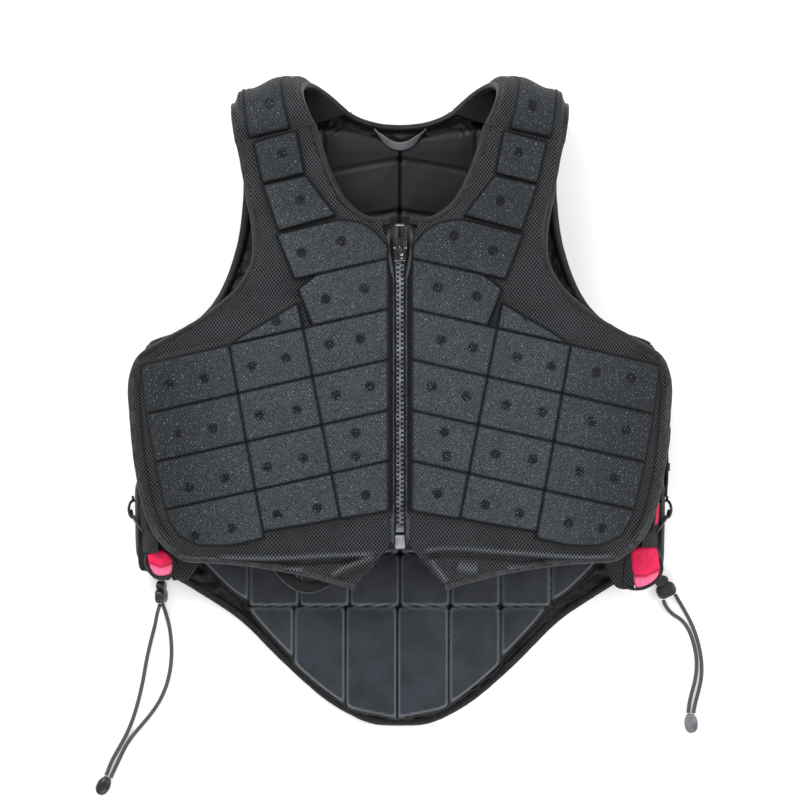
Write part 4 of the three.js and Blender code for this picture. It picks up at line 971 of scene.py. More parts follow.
def front_relief(x, y, way):
    """Height over the sheet's middle layer, and the masks for the net."""
    depth = np.full(x.shape, -1e3)
    for block in BLOCKS:
        depth = np.maximum(depth, depth_in(block, x, y, 0.7))
    depth -= GROOVE_HALF
    t = np.clip((depth + 0.9) / 3.4, 0, 1)
    rise = BLOCK_RISE * (0.42 * smooth(depth, -6.5, -0.9) + 0.58 * (1 - (1 - t) ** 2.2) ** (1 / 1.6))
    crown = 0.8 * smooth(depth, 0, 15)
    loose = smooth(depth, -2, -9)
    slack = loose * (0.9 * noise(x, y, 24) + 0.5 * noise(x, y, 9, 1))
    puckers = (1 - loose) * (0.25 * noise(x, y, 13, 2) + 0.12 * noise(x, y, 5, 3))
    flap = smooth(y, -126, -134)
    # The mask below marks the crests of the raised folds, where the net gets a painted highlight.
    ridge = np.zeros(x.shape)
    for points, height, width in FOLDS[way]:
        away, share = distance_to(dense(points, 8), x, y)
        ends = smooth(np.minimum(share, 1 - share), 0, 0.12)
        slack = slack + 1.6 * flap * ends * height * np.exp(-((away / width) ** 2))
        if height > 0:
            ridge = np.maximum(ridge, flap * ends * np.exp(-((away / width / 0.8) ** 2)))
    side = dense(place(FRONT_SIDE))
    edge, _ = distance_to(side[::4], x, y)
    # The recess a little inside the side edge dips the sheet and also gets painted shade through the groove
    # mask.
    recess = np.exp(-(((edge - 11.2) / 1.3) ** 2)) * smooth(y, 55, 30) * smooth(y, -132, -116)
    dots = np.zeros(x.shape)
    for dx, dy in DOTS[way]:
        dots = np.maximum(dots, smooth(np.hypot(x - dx, y - dy), *DOT_EDGE))
    foam = smooth(depth, -0.9, 0.9)
    groove = smooth(depth, 0.9, -0.5) * smooth(depth, -3.6, -1.6)
    height = 2.5 + rise + crown + slack + puckers - 1.7 * recess - 0.7 * dots
    return height, foam, np.maximum(groove, 0.8 * recess), dots * foam, ridge


def front_panel(side, way):
    part = Part()
    plan = front_plan(ROW_SPLIT, FRONT_COLUMNS)
    x, y = plan[..., 0], plan[..., 1]
    height, foam, groove, dots, ridge = front_relief(x, y, way)
    rim = np.minimum(smooth(x, 9.4, 10.8) + (np.arange(x.shape[0]) / ROW_SPLIT < 2)[:, None] * 1.0, 1)
    by_zip = smooth(y, zip_foot[1] - 1, zip_foot[1] + 9) * smooth(y, 129, 112)
    x = x - 4.3 * smooth(x, 12.2, 9.4) * by_zip
    height = height + 1.7 * np.exp(-(((x - 6.9) / 1.3) ** 2)) * by_zip
    # Painted shade: a dark line in the net beside the rolled edge of the zip.
    groove = np.maximum(groove, 0.6 * np.exp(-(((x - 9.8) / 0.6) ** 2)) * by_zip)
    flare = smooth(y, 143, 163) * smooth(x, 24, 10)
    height = height + 2.2 * flare
    x = x + 5.5 * flare
    height = lerp(0.4, height, rim)
    top = np.dstack([x, y, front_height(x, y) + height])
    top[-1] += (0, 1.2, -0.6)
    part.grid(top, facing=UP, foam=foam, groove=groove, dot=dots, ridge=ridge)
    low = top.copy()
    low[..., 2] = front_height(top[..., 0], top[..., 1]) - ROLL_DROP
    under = low[::ROW_SPLIT, ::10].copy()
    row, column = np.indices(under.shape[:2])
    deep = (row > 3) & (row < FRONT_STEPS) & (column > 2) & (column < under.shape[1] - 1)
    under[deep, 2] -= HOLLOW
    part.grid(under, facing=-UP)
    walls(part, top, low, SIDE_EDGES + END_EDGES)
    piece = part.made(f"front_panel_{side}_quilted", NET, way)
    ride(piece, f"front_panel_{side}", slot="mesh")


# Shoulders


def strap_point(across, along, inset):
    """The strap's middle layer, its outward normal and its thickness."""

    def between(ends):
        return [lerp(ends[0][0] + inset, ends[1][0] - inset, across), lerp(ends[0][1], ends[1][1], across)]

    front = between(strap_front)
    back = between(strap_back)
    slant = np.maximum(0, inset - 3) * (1 - across)
    back[0] = back[0] + 2 * slant
    top = lerp(0.341 * HALF_WIDTH + inset, 0.626 * HALF_WIDTH - inset, across) + slant
    thick = 20 * tabled(ACROSS, 2, across)
    crest = y_at(tabled(ACROSS, 1, across)) - thick / 2 + 5.5 * smooth(across, 0.8, 1)
    reach = (crest - (front[1] + back[1]) / 2) / 0.75
    start = front_height(front[0], front[1])

    def curve(u):
        v = 1 - u
        y = front[1] * v**3 + 3 * (front[1] + reach) * v * v * u
        y = y + 3 * (back[1] + reach) * v * u * u + back[1] * u**3
        z = lerp(start, 10.2, u * u * (3 - 2 * u))
        x = front[0] * v * (1 - 2 * u) + top * 4 * u * v + back[0] * u * (2 * u - 1)
        return points_at(x, y, z)

    point = curve(along)
    ahead = curve(np.minimum(1, along + 0.01)) - curve(np.maximum(0, along - 0.01))
    normal = unit(points_at(0, -ahead[..., 2], ahead[..., 1]))
    return point, normal, np.broadcast_to(thick, point.shape[:-1])


STRAP_GRID = (108, 60)
UNDER_STEP = 6


def shoulder(side, way):
    along, across = np.meshgrid(*(np.linspace(0, 1, n + 1) for n in STRAP_GRID), indexing="ij")
    point, normal, thick = strap_point(across, along, FRONT_INSET + 0.4)
    wider = smooth(along, 0.4, 0.6)
    low, high = 0.30 - 0.06 * wider, 0.84 + 0.05 * wider
    width = 70
    sides = np.minimum(across - low, high - across) * width
    ends = np.full(across.shape, -9.0)
    for first, last in ((0.010, 0.472), (0.480, 0.98)):
        ends = np.maximum(ends, np.minimum(along - first, last - along) * 150)
    depth = -1.5 * np.log(np.exp(-np.clip(sides / 1.5, -30, 30)) + np.exp(-np.clip(ends / 1.5, -30, 30)))
    t = np.clip((depth + 0.9) / 3.6, 0, 1)
    sheet = np.minimum(thick, 13) / 2 * smooth(along, -0.05, 0.14) + 1.6 * smooth(along, 0.16, 0)
    block = 5.2 * (0.4 * smooth(depth, -4, -0.9) + 0.6 * (1 - (1 - t) ** 2.2) ** (1 / 1.6))
    x, y = point[..., 0], point[..., 1]
    outer = sheet + block * (1 - 0.35 * smooth(along, 0.9, 1)) + 0.2 * noise(x, y + 300 * along, 11, 4)
    full = 1.6 * np.exp(-(((across - 0.92) / 0.08) ** 2)) * np.sin(math.pi * np.clip(along, 0, 1)) ** 1.5
    outer = np.minimum(outer, thick / 2 + 0.9) + full
    dx, dy = DOTS[way][0]
    dots = smooth(np.hypot(x - dx, y - dy), *DOT_EDGE) * (along < 0.45)
    foam = smooth(depth, -0.9, 0.9)
    groove = smooth(depth, 0.9, -0.5) * smooth(depth, -3.6, -1.6)
    part = Part()
    upper = point + normal * (outer - 0.7 * dots)[..., None]
    lower = point - normal * (thick / 2)[..., None]
    part.grid(upper, facing=(0, 0.5, 1), foam=foam, groove=groove, dot=dots * foam)
    # The underside is fully darkened with painted shade through the groove mask.
    part.grid(lower[::UNDER_STEP, ::UNDER_STEP], facing=(0, -0.5, -1), groove=1.0)
    walls(part, upper, lower, SIDE_EDGES)
    piece = part.made(f"shoulder_{side}_quilted", NET, way)
    ride(piece, f"shoulder_{side}", slot="mesh")


# Back panel

BACK_ROWS = [
    *[(0.0957, -0.22, 0.288), (0.1218, 0.2, 0.288), (0.2019, 0.18, 0.288), (0.2805, 0.15, 0.43)],
    *[(0.4377, 0.05, 0.43), (0.5826, 0, 0.43), (0.6566, 0, 0.189)],
    *[(0.7305, 0, 0.189), (0.8125, 0, 0.194), (1, 0, 1)],
]


def back_blocks():
    line = spaced(place(BACK_SIDE), 40)
    reach = lerp(18, 8.5, smooth(line[:, 1], -185, -238))[:, None]
    half = line + (shifted(line, 1.0) - line) * reach
    half[0] = place(TAIL[2]) + array(-2, 8.5)
    half = np.vstack([place(TAIL[0]) + array(0, 8.5), half, place([(0.3, 0.072), (0, 0.09)])])
    half[:, 0] = np.minimum(half[:, 0], 0.86 * HALF_WIDTH)
    blocks = []
    for row, following in zip(BACK_ROWS[:-1], BACK_ROWS[1:]):
        band = half
        for (down, slope, _), sign in ((row, 1), (following, -1)):
            band = clipped(band, array(0, y_at(down)), sign * unit(array(-slope, -1)))
        start = 0.0
        while start < 1 and len(band):
            cell = clipped(band, array(start * HALF_WIDTH, 0), array(1, 0))
            start += row[2]
            if len(cell):
                cell = clipped(cell, array(start * HALF_WIDTH, 0), array(-1, 0))
            if area_of(cell) > 420:
                blocks.append(cell)
    return blocks


def back_plan(split, columns, inset):
    side = shifted(spaced(place(BACK_SIDE), BACK_STEPS * split), inset)
    side[0] = place(BACK_SIDE[0]) + array(-1, inset)
    side[-1] = strap_back[1] - array(inset, 0)
    foot = y_at(1) + inset
    head = y_at(BACK_NECK[0][1]) - inset
    steps = np.linspace(0, 1, BACK_STEPS * split + 1)
    centre = np.stack([np.zeros_like(steps), lerp(foot, head, steps)], 1)
    across = np.linspace(0, 1, columns + 1)
    plan = centre[:, None] * (1 - across[:, None]) + side[:, None] * across[:, None]
    tail = resampled(dense(place(TAIL)), columns) + np.stack([-across, np.full(columns + 1, inset)], 1)
    neck = dense(place(BACK_NECK))
    shares = np.linspace(0, 1, len(neck))
    neck = np.stack([np.interp(across * 2, shares, neck[:, k]) for k in (0, 1)], 1) - array(0, inset)
    strap = lerp(strap_back[0], side[-1], (np.clip(across, 0.5, 1)[:, None] - 0.5) * 2) + array(0, 3)
    last = np.where(across[:, None] <= 0.5, neck, strap)
    low = np.clip(1 - steps * BACK_STEPS, 0, 1)[:, None, None]
    high = np.clip(1 - (1 - steps) * BACK_STEPS, 0, 1)[:, None, None]
    return plan + low * (tail - plan[0]) + high * (last - plan[-1])


BACK_SPLIT = 14
BACK_COLUMNS = 147
BACK_UNDER_STEP = 7


def back_panel():
    half = back_plan(BACK_SPLIT, BACK_COLUMNS, 3.8)
    mirrored = half[:, :0:-1] * array(-1, 1)
    plan = np.concatenate([mirrored, half], 1)
    x, y = plan[..., 0], plan[..., 1]
    depth = np.full(x.shape, -1e3)
    for block in back_blocks():
        low_row = block[:, 1].max() < -185
        depth = np.maximum(depth, depth_in(block, np.abs(x + 2.6 * low_row), y, 1.3))
    depth -= 0.6
    t = np.clip((depth + 0.9) / 3.2, 0, 1)
    rise = BACK_RISE * (0.5 * smooth(depth, -6, -0.9) + 0.5 * (1 - (1 - t) ** 2.3) ** (1 / 1.7))
    crown = 0.9 * smooth(depth, 2, 20)
    loose = smooth(depth, -1.4, -3.5)
    gather = noise(x, y, 9, 5) + 0.7 * noise(x * 0.6, y * 1.4, 5, 6)
    tail_side = noise(x + y, x - y, 11, 7)
    wrinkle = loose * (1.3 * gather + 1.1 * tail_side + 1.6)
    edge_fade = smooth(1 - np.abs(np.linspace(-1, 1, x.shape[1])), 0, 0.03)
    height = 3 + rise + crown + wrinkle * edge_fade + 0.22 * noise(x, y, 16, 8)
    part = Part()
    top = np.dstack([x, y, back_height(x) + height])
    # rim marks the blocks' rounded edges, which get a painted highlight.
    rim = smooth(depth, 0.0, 0.8) * smooth(depth, 2.8, 1.2)
    part.grid(top, facing=UP, foam=smooth(depth, -1.0, 0.4), groove=loose, rim=rim)
    low = top.copy()
    low[..., 2] = back_height(x) + 0.4
    under = low[::BACK_UNDER_STEP, ::BACK_UNDER_STEP].copy()
    under[1:-1, 1:-1, 2] -= 0.4
    part.grid(under, facing=-UP)
    walls(part, top, low, SIDE_EDGES + END_EDGES)
    piece = part.made("back_panel_quilted", back_look())
    ride(piece, "back_panel", slot="inner_cover")


def back_look():
    """Smooth cover on the blocks, and thin creased lining between them and the binding.

    foam is 1 on a block, groove 1 on the lining and rim 1 along a block's edge, where a painted highlight
    lightens the cover.
    """
    look = Look("inner_cover_and_lining", Specular_IOR_Level=0.35, Sheen_Weight=0.08, Sheen_Roughness=0.35)
    lining = look.value("groove")
    x, y, _ = look.parts(look.mm)
    weave = look.math("MULTIPLY", look.wave(x, 0.9), look.wave(y, 0.9))
    wide = look.grain(26, 3, 0.55)
    fine = look.grain(1.5, 2, 0.6)
    creases = look.grain(6, 5, 0.7)
    cover = look.mix(look.ramp(wide, 0.3, 0.7), colour(30, 34, 40), colour(44, 48, 56))
    # Painted highlight: a lighter band along each block's rounded edge.
    cover = look.mix(look.math("MULTIPLY", look.value("rim"), 0.62), cover, colour(108, 114, 120))
    # Painted shade: the cover turns near black towards the neck, where it lies deep below the front panels
    # and straps.
    inside = look.ramp(y, 85, 130, 0.0, 0.92)
    cover = look.mix(inside, cover, colour(5, 6, 9))
    # Painted highlight: the lining is lighter on the ridges of its creases.
    thin = look.mix(look.ramp(creases, 0.35, 0.68), colour(3, 3, 4), colour(18, 20, 23))
    base = look.mix(lining, cover, thin)
    shadow = look.math("MULTIPLY", look.ramp(look.value("foam"), 1.0, 0.2), 0.9)
    base = look.mix(shadow, base, colour(2, 2, 3))
    normal = look.bumped(look.math("MULTIPLY", creases, lining), 2.2, 0.8)
    normal = look.bumped(look.math("ADD", weave, fine), 0.1, 0.5, under=normal)
    rough = look.math("MULTIPLY_ADD", fine, 0.14, look.ramp(lining, 0.0, 1.0, 0.4, 0.3))
    look.set(Base_Color=base, Roughness=rough, Normal=normal)
    return look.material


# Bindings

BIND_INSET = 3.9
BIND_WIDTH = 7.8
BIND_HEIGHT = 7.2
front_side = spaced(place(FRONT_SIDE), 320)
back_side = spaced(place(BACK_SIDE), 360)
front_under = int(np.argmin(np.linalg.norm(front_side - place((0.965, 0.427)), axis=1)))
back_under = int(np.argmin(np.linalg.norm(back_side - place((0.945, 0.407)), axis=1)))
front_edge = shifted(front_side, BIND_INSET)
back_edge = shifted(back_side, BIND_INSET)
THREADS = Part()


def over(line, height):
    return np.column_stack([line, height(line[:, 0], line[:, 1])])


def bind(node, path, inner, way=1, width=BIND_WIDTH, height=BIND_HEIGHT):
    """Folded tape over an edge, with stitches on its inner side, the one that faces the panel."""
    path = resampled(path, int(length_of(path) / 2.6))
    s = np.linspace(0, length_of(path), len(path))
    size = 1 + 0.035 * noise(s, s * 0, 7, 9) + 0.02 * noise(s, s * 0, 2.6, 10)
    part = Part()
    section = oval(width, height, 20, 0.72)
    lip = np.exp(-(((section[:, 0] * inner - width * 0.33) / (width * 0.12)) ** 2)) * (section[:, 1] > 0)
    section[:, 1] -= 0.75 * lip
    swept(part, path, section, size=size)
    # The front hem bindings take the lighter tape, a painted highlight.
    piece = part.made(f"{node}_tape", LIT_HEM_TAPE if node.startswith("front_hem") else BINDING, way)
    ride(piece, node, slot="binding")
    _, across, rise = frames(path)
    line = path + across * (inner * width * 0.33) + rise * (height * 0.5 - 0.75)
    stitched(THREADS, line * (way, 1, 1))


def strap_edge(across, count=46):
    return strap_point(np.full(count, float(across)), np.linspace(0, 1, count), BIND_INSET)[0]


def hem_line():
    across = np.linspace(0, 0.985, 110)
    start = flap_corner + array(0, BIND_INSET)
    end = front_side[0] + array(0, BIND_INSET)
    line = lerp(start, end, across[:, None])
    line[:, 1] += 0.0115 * BODY_LENGTH * 4 * across * (1 - across)
    return line


def side_height(x, y):
    return back_height(x) + BIND_HEIGHT / 2


def bindings():
    neck = shifted(spaced([zip_head, *place(FRONT_NECK)], 60), -BIND_INSET)
    neck[-1] = strap_front[0] + array(BIND_INSET, 0)
    down_side = front_edge[3 : front_under + 1][::-1]
    hem = hem_line()[::-1]
    corner = dense([down_side[-3], down_side[-1], hem[3], hem[6]], 6)
    front = np.vstack([down_side[:-1], corner[6:13], hem[5:]])
    arm_front = front_edge[front_under:-1]
    arm_back = back_edge[back_under:-1][::-1]
    rise = smooth(arm_back[:, 1], y_at(0.3), y_at(0.12))
    arm_back = np.column_stack([arm_back, lerp(back_height(arm_back[:, 0]) + 3.5, 10.2, rise)])
    arm = np.vstack([over(arm_front, front_height), strap_edge(1.0), arm_back])
    back_neck = dense(place(BACK_NECK))[::-1][12:]
    share = np.linspace(0.9, 0, len(back_neck))
    back_neck = np.column_stack([back_neck - array(0, BIND_INSET), lerp(7, 10.2, share)])
    half = np.vstack([strap_edge(0.0), back_neck])
    half = dense(resampled(half, 90)[::3], 6)
    for side, way in SIDES:
        bind(f"front_neck_binding_{side}", over(neck, front_height), 1, way)
        bind(f"front_hem_binding_{side}", over(front, front_height), 1, way)
        bind(f"armhole_binding_{side}", arm, -1, way)
    bind("back_neck_binding", np.vstack([half, (half * array(-1, 1, 1))[-2::-1]]), 1, 1, 6.4, 6.4)
    tail = dense(place(TAIL)) + array(0, BIND_INSET)
    tail = np.vstack([tail[::-1], (tail * array(-1, 1))[1:]])
    lower = back_edge[6 : back_under + 1][::-1]
    plan = np.vstack([lower, tail[18:-18], (lower * array(-1, 1))[::-1]])
    plan = dense(resampled(plan, 150), 4)
    bind("back_hem_binding", over(plan, side_height), 1, 1, 7.2, 6.9)


# Zip


def tape_top(y):
    return front_height(0.0, y) - 3.3


SLIDER_Y = 139.998
CHAIN_FOOT = zip_foot[1] + 16.5
CHAIN_HEAD = SLIDER_Y - 11
TOOTH_OUTLINE = [(3.7, -1.45), (3.7, 1.45), (1.5, 1.1), (0.6, 1.35), (-0.7, 1.0), (-1.3, 0.35)]
TOOTH_OUTLINE += [(-1.3, -0.35), (-0.7, -1.0), (0.6, -1.35), (1.5, -1.1)]


def zip_tapes():
    y = np.linspace(zip_foot[1], zip_head[1] - 8, 150)
    x = np.array([0.7, 1.6, 3.4, 4.6, 6, 8, 10, 15.8])
    lift = np.array([0, 0.3, 0.3, 0, 0, 0.12, 0, 0])
    gx, gy = np.meshgrid(x, y)
    z = tape_top(gy) + lift - 0.3 + 0.1 * noise(gx, gy, 8, 11)
    upper = np.dstack([gx, gy, z])
    lower = upper - (0, 0, 1.2)
    line = points_at(8.6, y, tape_top(y) + 0.1)
    for side, way in SIDES:
        part = Part()
        part.grid(upper, facing=UP, along=gy, around=gx / 16)
        part.grid(lower, facing=-UP, along=gy, around=gx / 16)
        walls(part, upper, lower, SIDE_EDGES)
        piece = part.made(f"zip_tape_{side}_woven", ZIP_TAPE, way)
        ride(piece, f"zip_tape_{side}", slot="webbing")
        stitched(THREADS, line * (way, 1, 1), 3.4, 2.4, 0.34)


def folded_edge(side, way):
    """The rolled edge of the front beside the chain, opening out round the slider, in a lighter cloth that
    is painted highlight.
    """
    y = np.linspace(zip_foot[1] + 3, 158, 150)
    x = 6.8 + 4.0 * smooth(y, 112, 143) - 1.2 * smooth(y, 146, 158) + 0.3 * noise(y, y * 0, 14, 15)
    line = points_at(x, y, front_height(x, y) + 2.2)
    part = Part()
    swept(part, line, oval(3.6, 2.8, 14), size=ball_ends(line) * (1 + 0.12 * noise(y, y * 0, 8, 16)))
    ride(part.made(f"front_fold_{side}", FOLD, way), slot="binding")


def zip_chain():
    part = Part()
    outline = turned_left(TOOTH_OUTLINE)
    loop = np.vstack([outline, outline[:1]])
    pitch = 4.17
    count = int((CHAIN_HEAD - CHAIN_FOOT) / pitch)
    for way in (1, -1):
        for k in range(count):
            y = CHAIN_FOOT + 1.4 + (k + (0.5 if way < 0 else 0)) * pitch
            z = tape_top(y) + 0.75
            rows = []
            for shrink, lift in ((0.93, 0), (1, 0.3), (1, 1.75), (0.93, 2.2), (0.72, 2.5)):
                ring = (loop - outline.mean(0)) * shrink + outline.mean(0)
                rows.append(points_at(ring[:, 0] * way, ring[:, 1] + y, z + lift))
            points = np.array(rows)
            part.grid(points)
            part.cap(points[-1, :-1], UP)
    for way in (1, -1):
        y = np.linspace(CHAIN_FOOT, CHAIN_HEAD, 120)
        swept(part, points_at(3.5 * way, y, tape_top(y) + 0.9), oval(1.3, 1.4, 8))
    piece = part.made("zip_chain_teeth", TOOTH)
    ride(piece, "zip_chain", slot="zip_plastic")


SLIDER_HEIGHT = 5
slider_foot = float(tape_top(SLIDER_Y - 10)) + 0.8
crown_foot = slider_foot + SLIDER_HEIGHT
pull_z = crown_foot + 1.7


def zip_slider():
    part = Part()
    edge = [(4.6, -10), (6.1, -3), (6.5, 5), (5.6, 9.6), (1.6, 10)]
    corners = [(-4.6, -10), *edge, (0, 8.4), *((-x, y) for x, y in edge[:0:-1])]
    outline = closed_curve([(x, y + SLIDER_Y) for x, y in corners], 72)
    pillow(part, outline, slider_foot, crown_foot, 1.3, 0.25, 6)
    angle = np.linspace(0, math.pi, 21)
    arch = points_at(0, SLIDER_Y - 4.4 * np.cos(angle), crown_foot - 0.4 + 3.9 * np.sin(angle) ** 0.6)
    swept(part, arch, oval(2.9, 1.3, 14, 0.7))
    for way in (1, -1):
        rail = points_at(4.9 * way, SLIDER_Y + np.linspace(-7, 7.5, 12), crown_foot)
        swept(part, rail, oval(1.2, 1.0, 8), size=ball_ends(rail))
    # Painted highlights: small bright metal pieces on the slider's crown and front edge stand for the light
    # it catches.
    highlight_bits = Part()
    top = crown_foot + 0.1
    for x, y, wide, deep, high in (
        (-4.6, 1.6, 2.2, 1.5, 0.5),
        (4.9, 1.6, 2.6, 1.5, 0.5),
        (1.4, -4.6, 2.4, 2.4, 1.6),
        (1.4, -8.0, 1.8, 1.4, 0.3),
        (0, -10.1, 10.2, 0.5, -0.6),
    ):
        rounded_box(highlight_bits, (x, SLIDER_Y + y, top + high), (wide, deep, 0.9), 0.24)
    ride(highlight_bits.made("zip_slider_painted_highlights", HIGHLIGHT_METAL), slot="zip_metal")
    piece = part.made("zip_slider_cast", METAL)
    ride(piece, "zip_slider", slot="zip_metal")


def zip_pull():
    part = Part()
    at = np.array([0, SLIDER_Y, pull_z])
    bar = points_at(np.linspace(-4.1, 4.1, 12), 0, 0) + at
    swept(part, bar, oval(1.9, 1.9, 14))
    for way in (1, -1):
        arm = points_at(3.2 * way, np.linspace(-0.6, 9.6, 12), 0) + at
        swept(part, arm, oval(1.9, 1.9, 14, 0.75), size=ball_ends(arm, 2))
    loop = [[sx * 2.1 + 2.3 * c, 15.3 + sy * 4.6 + 2.1 * s, 0] for sx, sy, c, s in corner_turns(8)]
    loop = np.array(loop + loop[:1]) + at
    swept(part, resampled(loop, 60), oval(3.0, 1.9, 14, 0.7), ends=False)
    # Painted highlight: a thin bright arc along the top edge of the pull's loop.
    highlight_bits = Part()
    arc = loop[np.argsort(loop[:, 0])]
    arc = arc[arc[:, 1] > at[1] + 19.2]
    x = np.linspace(-3.6, 3.6, 16)
    arc = points_at(x, np.interp(x, arc[:, 0], arc[:, 1]), arc[0, 2] + 0.85)
    swept(highlight_bits, arc, oval(0.7, 0.6, 10), size=ball_ends(arc))
    ride(highlight_bits.made("zip_pull_painted_highlight", HIGHLIGHT_METAL), slot="zip_metal", body="zip_pull")
    piece = part.made("zip_pull_cast", METAL)
    ride(piece, "zip_pull", slot="zip_metal", body="zip_pull")


def zip_box():
    part = Part()
    y = zip_foot[1] + 6.25 - 2
    foot = float(tape_top(y + 6.25)) + 0.4
    rounded_box(part, (0, y, foot + 2.2), (9.3, 12.3, 4.4), 1.2)
    rounded_box(part, (0, y + 2.2, foot + 4.2), (5.2, 4.0, 0.8), 0.38)
    for way in (1, -1):
        rounded_box(part, (3.6 * way, y, foot + 4.2), (1.3, 10.4, 0.9), 0.4)
    piece = part.made("zip_box_moulded", BOX_PLASTIC)
    ride(piece, "zip_box", slot="zip_plastic")
    retainer = Part()
    middle = float(tape_top(zip_foot[1] + 16)) + 1.9
    rounded_box(retainer, (0, zip_foot[1] + 16.2, middle), (8.6, 6.4, 2.6), 0.9)
    ride(retainer.made("zip_retainer", TOOTH), slot="zip_plastic")


# Sides


GUSSET_ROWS = [
    *[(0.45, 0.9, 0.958), (0.51, 0.9, 0.962), (0.57, 0.9, 0.964), (0.63, 0.89, 0.964)],
    *[(0.67, 0.88, 0.963), (0.698, 0.875, 0.95)],
]


SIDE_ENDS = [(0, (0, 1, 0)), (-1, (0, -1, 0))]


def bowed(y, inner, reach, turn, wall):
    """A point of the bow between front and back, at a share of a half turn from the back."""
    x = inner + (reach - inner - wall) * np.sin(turn * math.pi)
    low = back_height(x) + 4.5
    high = front_height(x, y) - 11.5
    return points_at(x, y, lerp(low, high, 0.5 - 0.5 * np.cos(turn * math.pi)))


def gusset_lines(y):
    downs = 0.5 - y / BODY_LENGTH
    rows = np.array(GUSSET_ROWS)
    return [np.interp(downs, rows[:, 0], rows[:, k]) * HALF_WIDTH for k in (1, 2)]


def gusset(side, way):
    y = np.linspace(y_at(0.45), y_at(0.698), 60)[:, None]
    inner, reach = gusset_lines(y)
    turn = np.linspace(0, 1, 26)[None]
    ripple = 0.5 * noise(y, turn * 40, 6, 12)
    outer = bowed(y, inner, reach, turn, 0.4 + ripple)
    core = bowed(y, inner, reach, turn, 2.6)
    part = Part()
    part.grid(outer, facing=(1, 0, 0), groove=0.0)
    part.grid(core, facing=(-1, 0, 0))
    walls(part, outer, core, SIDE_ENDS)
    piece = part.made(f"side_gusset_{side}_net", SIDE_NET, way)
    ride(piece, f"side_gusset_{side}", slot="mesh")


def webbing(side, way):
    y = np.linspace(-92, -138 if side == "r" else -133, 24)[:, None]
    inner, reach = gusset_lines(y)
    turn = 0.24 + (0.52 + 0.2 * smooth(y, -116, -124)) * np.linspace(0, 1, 28)[None]
    outer = bowed(y, inner + 3.2, reach + 2.3, turn, 0.0)
    inside = bowed(y, inner + 3.2, reach + 2.3, turn, 1.5)
    along = run_of(outer[12])[None] * np.ones((24, 1))
    part = Part()
    part.grid(outer, facing=(1, 0, 0), along=along, around=np.linspace(0, 1, 24)[:, None])
    part.grid(inside, facing=(-1, 0, 0), along=along)
    walls(part, outer, inside, SIDE_ENDS, along=along[:1])
    walls(part, outer, inside, [((slice(None), 0), (0, 0, -1)), ((slice(None), -1), (0, 0, 1))])
    piece = part.made(f"waist_webbing_{side}_woven", WEBBING, way)
    ride(piece, f"waist_webbing_{side}", slot="webbing")


def ring_hook(side, way):
    angle = np.linspace(0, 2 * math.pi, 45)
    part = Part()
    ring = points_at(248.8 + 3.4 * np.sin(angle), -98 + 8 * np.cos(angle), 30 + 7.2 * np.sin(angle))
    swept(part, ring, oval(2.6, 2.6, 12, 0.9), ends=False)
    tooth = points_at(248.8, np.linspace(-89.6, -85.4, 10), np.linspace(31, 35, 10))
    swept(part, tooth, oval(2.8, 2.4, 12), size=ball_ends(tooth))
    piece = part.made(f"ring_hook_{side}_moulded", BLACK_PLASTIC, way)
    ride(piece, f"ring_hook_{side}", slot="black_plastic")


LACE = [
    *[(240.8, 22, 46), (244, 14, 37), (240.8, 4, 28), (244, -8, 37), (240.8, -20, 46), (244.2, -32, 37)],
    *[(240.8, -44, 28), (244.2, -56, 37), (240.8, -66, 45), (244.4, -78, 38), (245.2, -90, 33)],
    *[(245.3, -104, 31), (245.2, -118, 30), (245.2, -130, 27)],
]
LACE_END = {
    "l": [(245.4, -142, 23), (245.4, -152, 14.5), (244.9, -161, 6.2)],
    "r": [(244.8, -141, 21), (240, -150, 15), (232.4, -158, 12), (226.4, -164.8, 11)],
}


def lace(side, way):
    route = centripetal(LACE + LACE_END[side])
    part = Part()
    swept(part, resampled(route, int(length_of(route) / 2.2)), oval(CORD_DIAMETER, CORD_DIAMETER, 12))
    ride(part.made(f"side_lace_{side}_braided", CORD, way), f"side_lace_{side}", slot="elastic_cord")


TAB = [
    *[(216, -133.5), (240.2, -134.4), (243.8, -151.3), (243.8, -158)],
    *[(239.2, -165.4), (227, -171.4), (219, -169.6)],
]
TAB_END = [
    *[(215.4, -136), (218.4, -169.4), (212, -172.6), (203, -171.6)],
    *[(198, -165.6), (191, -150), (192, -137)],
]
TAB_MOVE = {"l": (0, 0), "r": (-5.5, 8.5)}
TAB_PATCH = {
    "l": [
        *[(227, -132.1), (238.2, -133.1), (242.4, -149.8), (242, -156.3)],
        *[(237.3, -164), (224.3, -170.3), (211, -166), (214, -140)],
    ],
    "r": [
        *[(234.8, -141.4), (223.3, -135.6), (213.6, -141.4), (208, -153.5)],
        *[(213.6, -158.6), (223.3, -160.6), (231, -156.4)],
    ],
}
TAB_CREASE = {
    "l": [(213, -159), (228, -160), (243, -153.5)],
    "r": [(232, -148), (222, -151.5), (208, -146)],
}
SIDE_STRAP = {
    "l": [(232, -78), (243.6, -74), (245.4, -157), (240, -163), (228, -167), (214, -160), (214, -126)],
    "r": [(232, -78), (243.6, -74), (244.9, -147), (236, -157), (226.7, -164.4), (212, -160), (212, -126)],
}

def side_strap(side, way):
    part = Part()
    outline = closed_curve(SIDE_STRAP[side], 90)
    pillow(part, outline, 13, 27, 2.2, 0.3)
    ride(part.made(f"side_strap_{side}_cloth", BINDING, way), slot="webbing")
    piping = Part()
    low = lerp(closed_curve(TAB_PATCH[side], 90), array(*TAB_PATCH[side]).mean(0), -0.1)
    line = points_at(low[:, 0], low[:, 1], 35.2)
    line = line[line[:, 1] < -142]
    line = line[np.argsort(np.arctan2(line[:, 1] + 142, line[:, 0] - 223))]
    swept(piping, line, oval(2.6, 2.6, 10), size=ball_ends(line))
    ride(piping.made(f"side_tab_{side}_piping", BINDING, way), slot="binding")


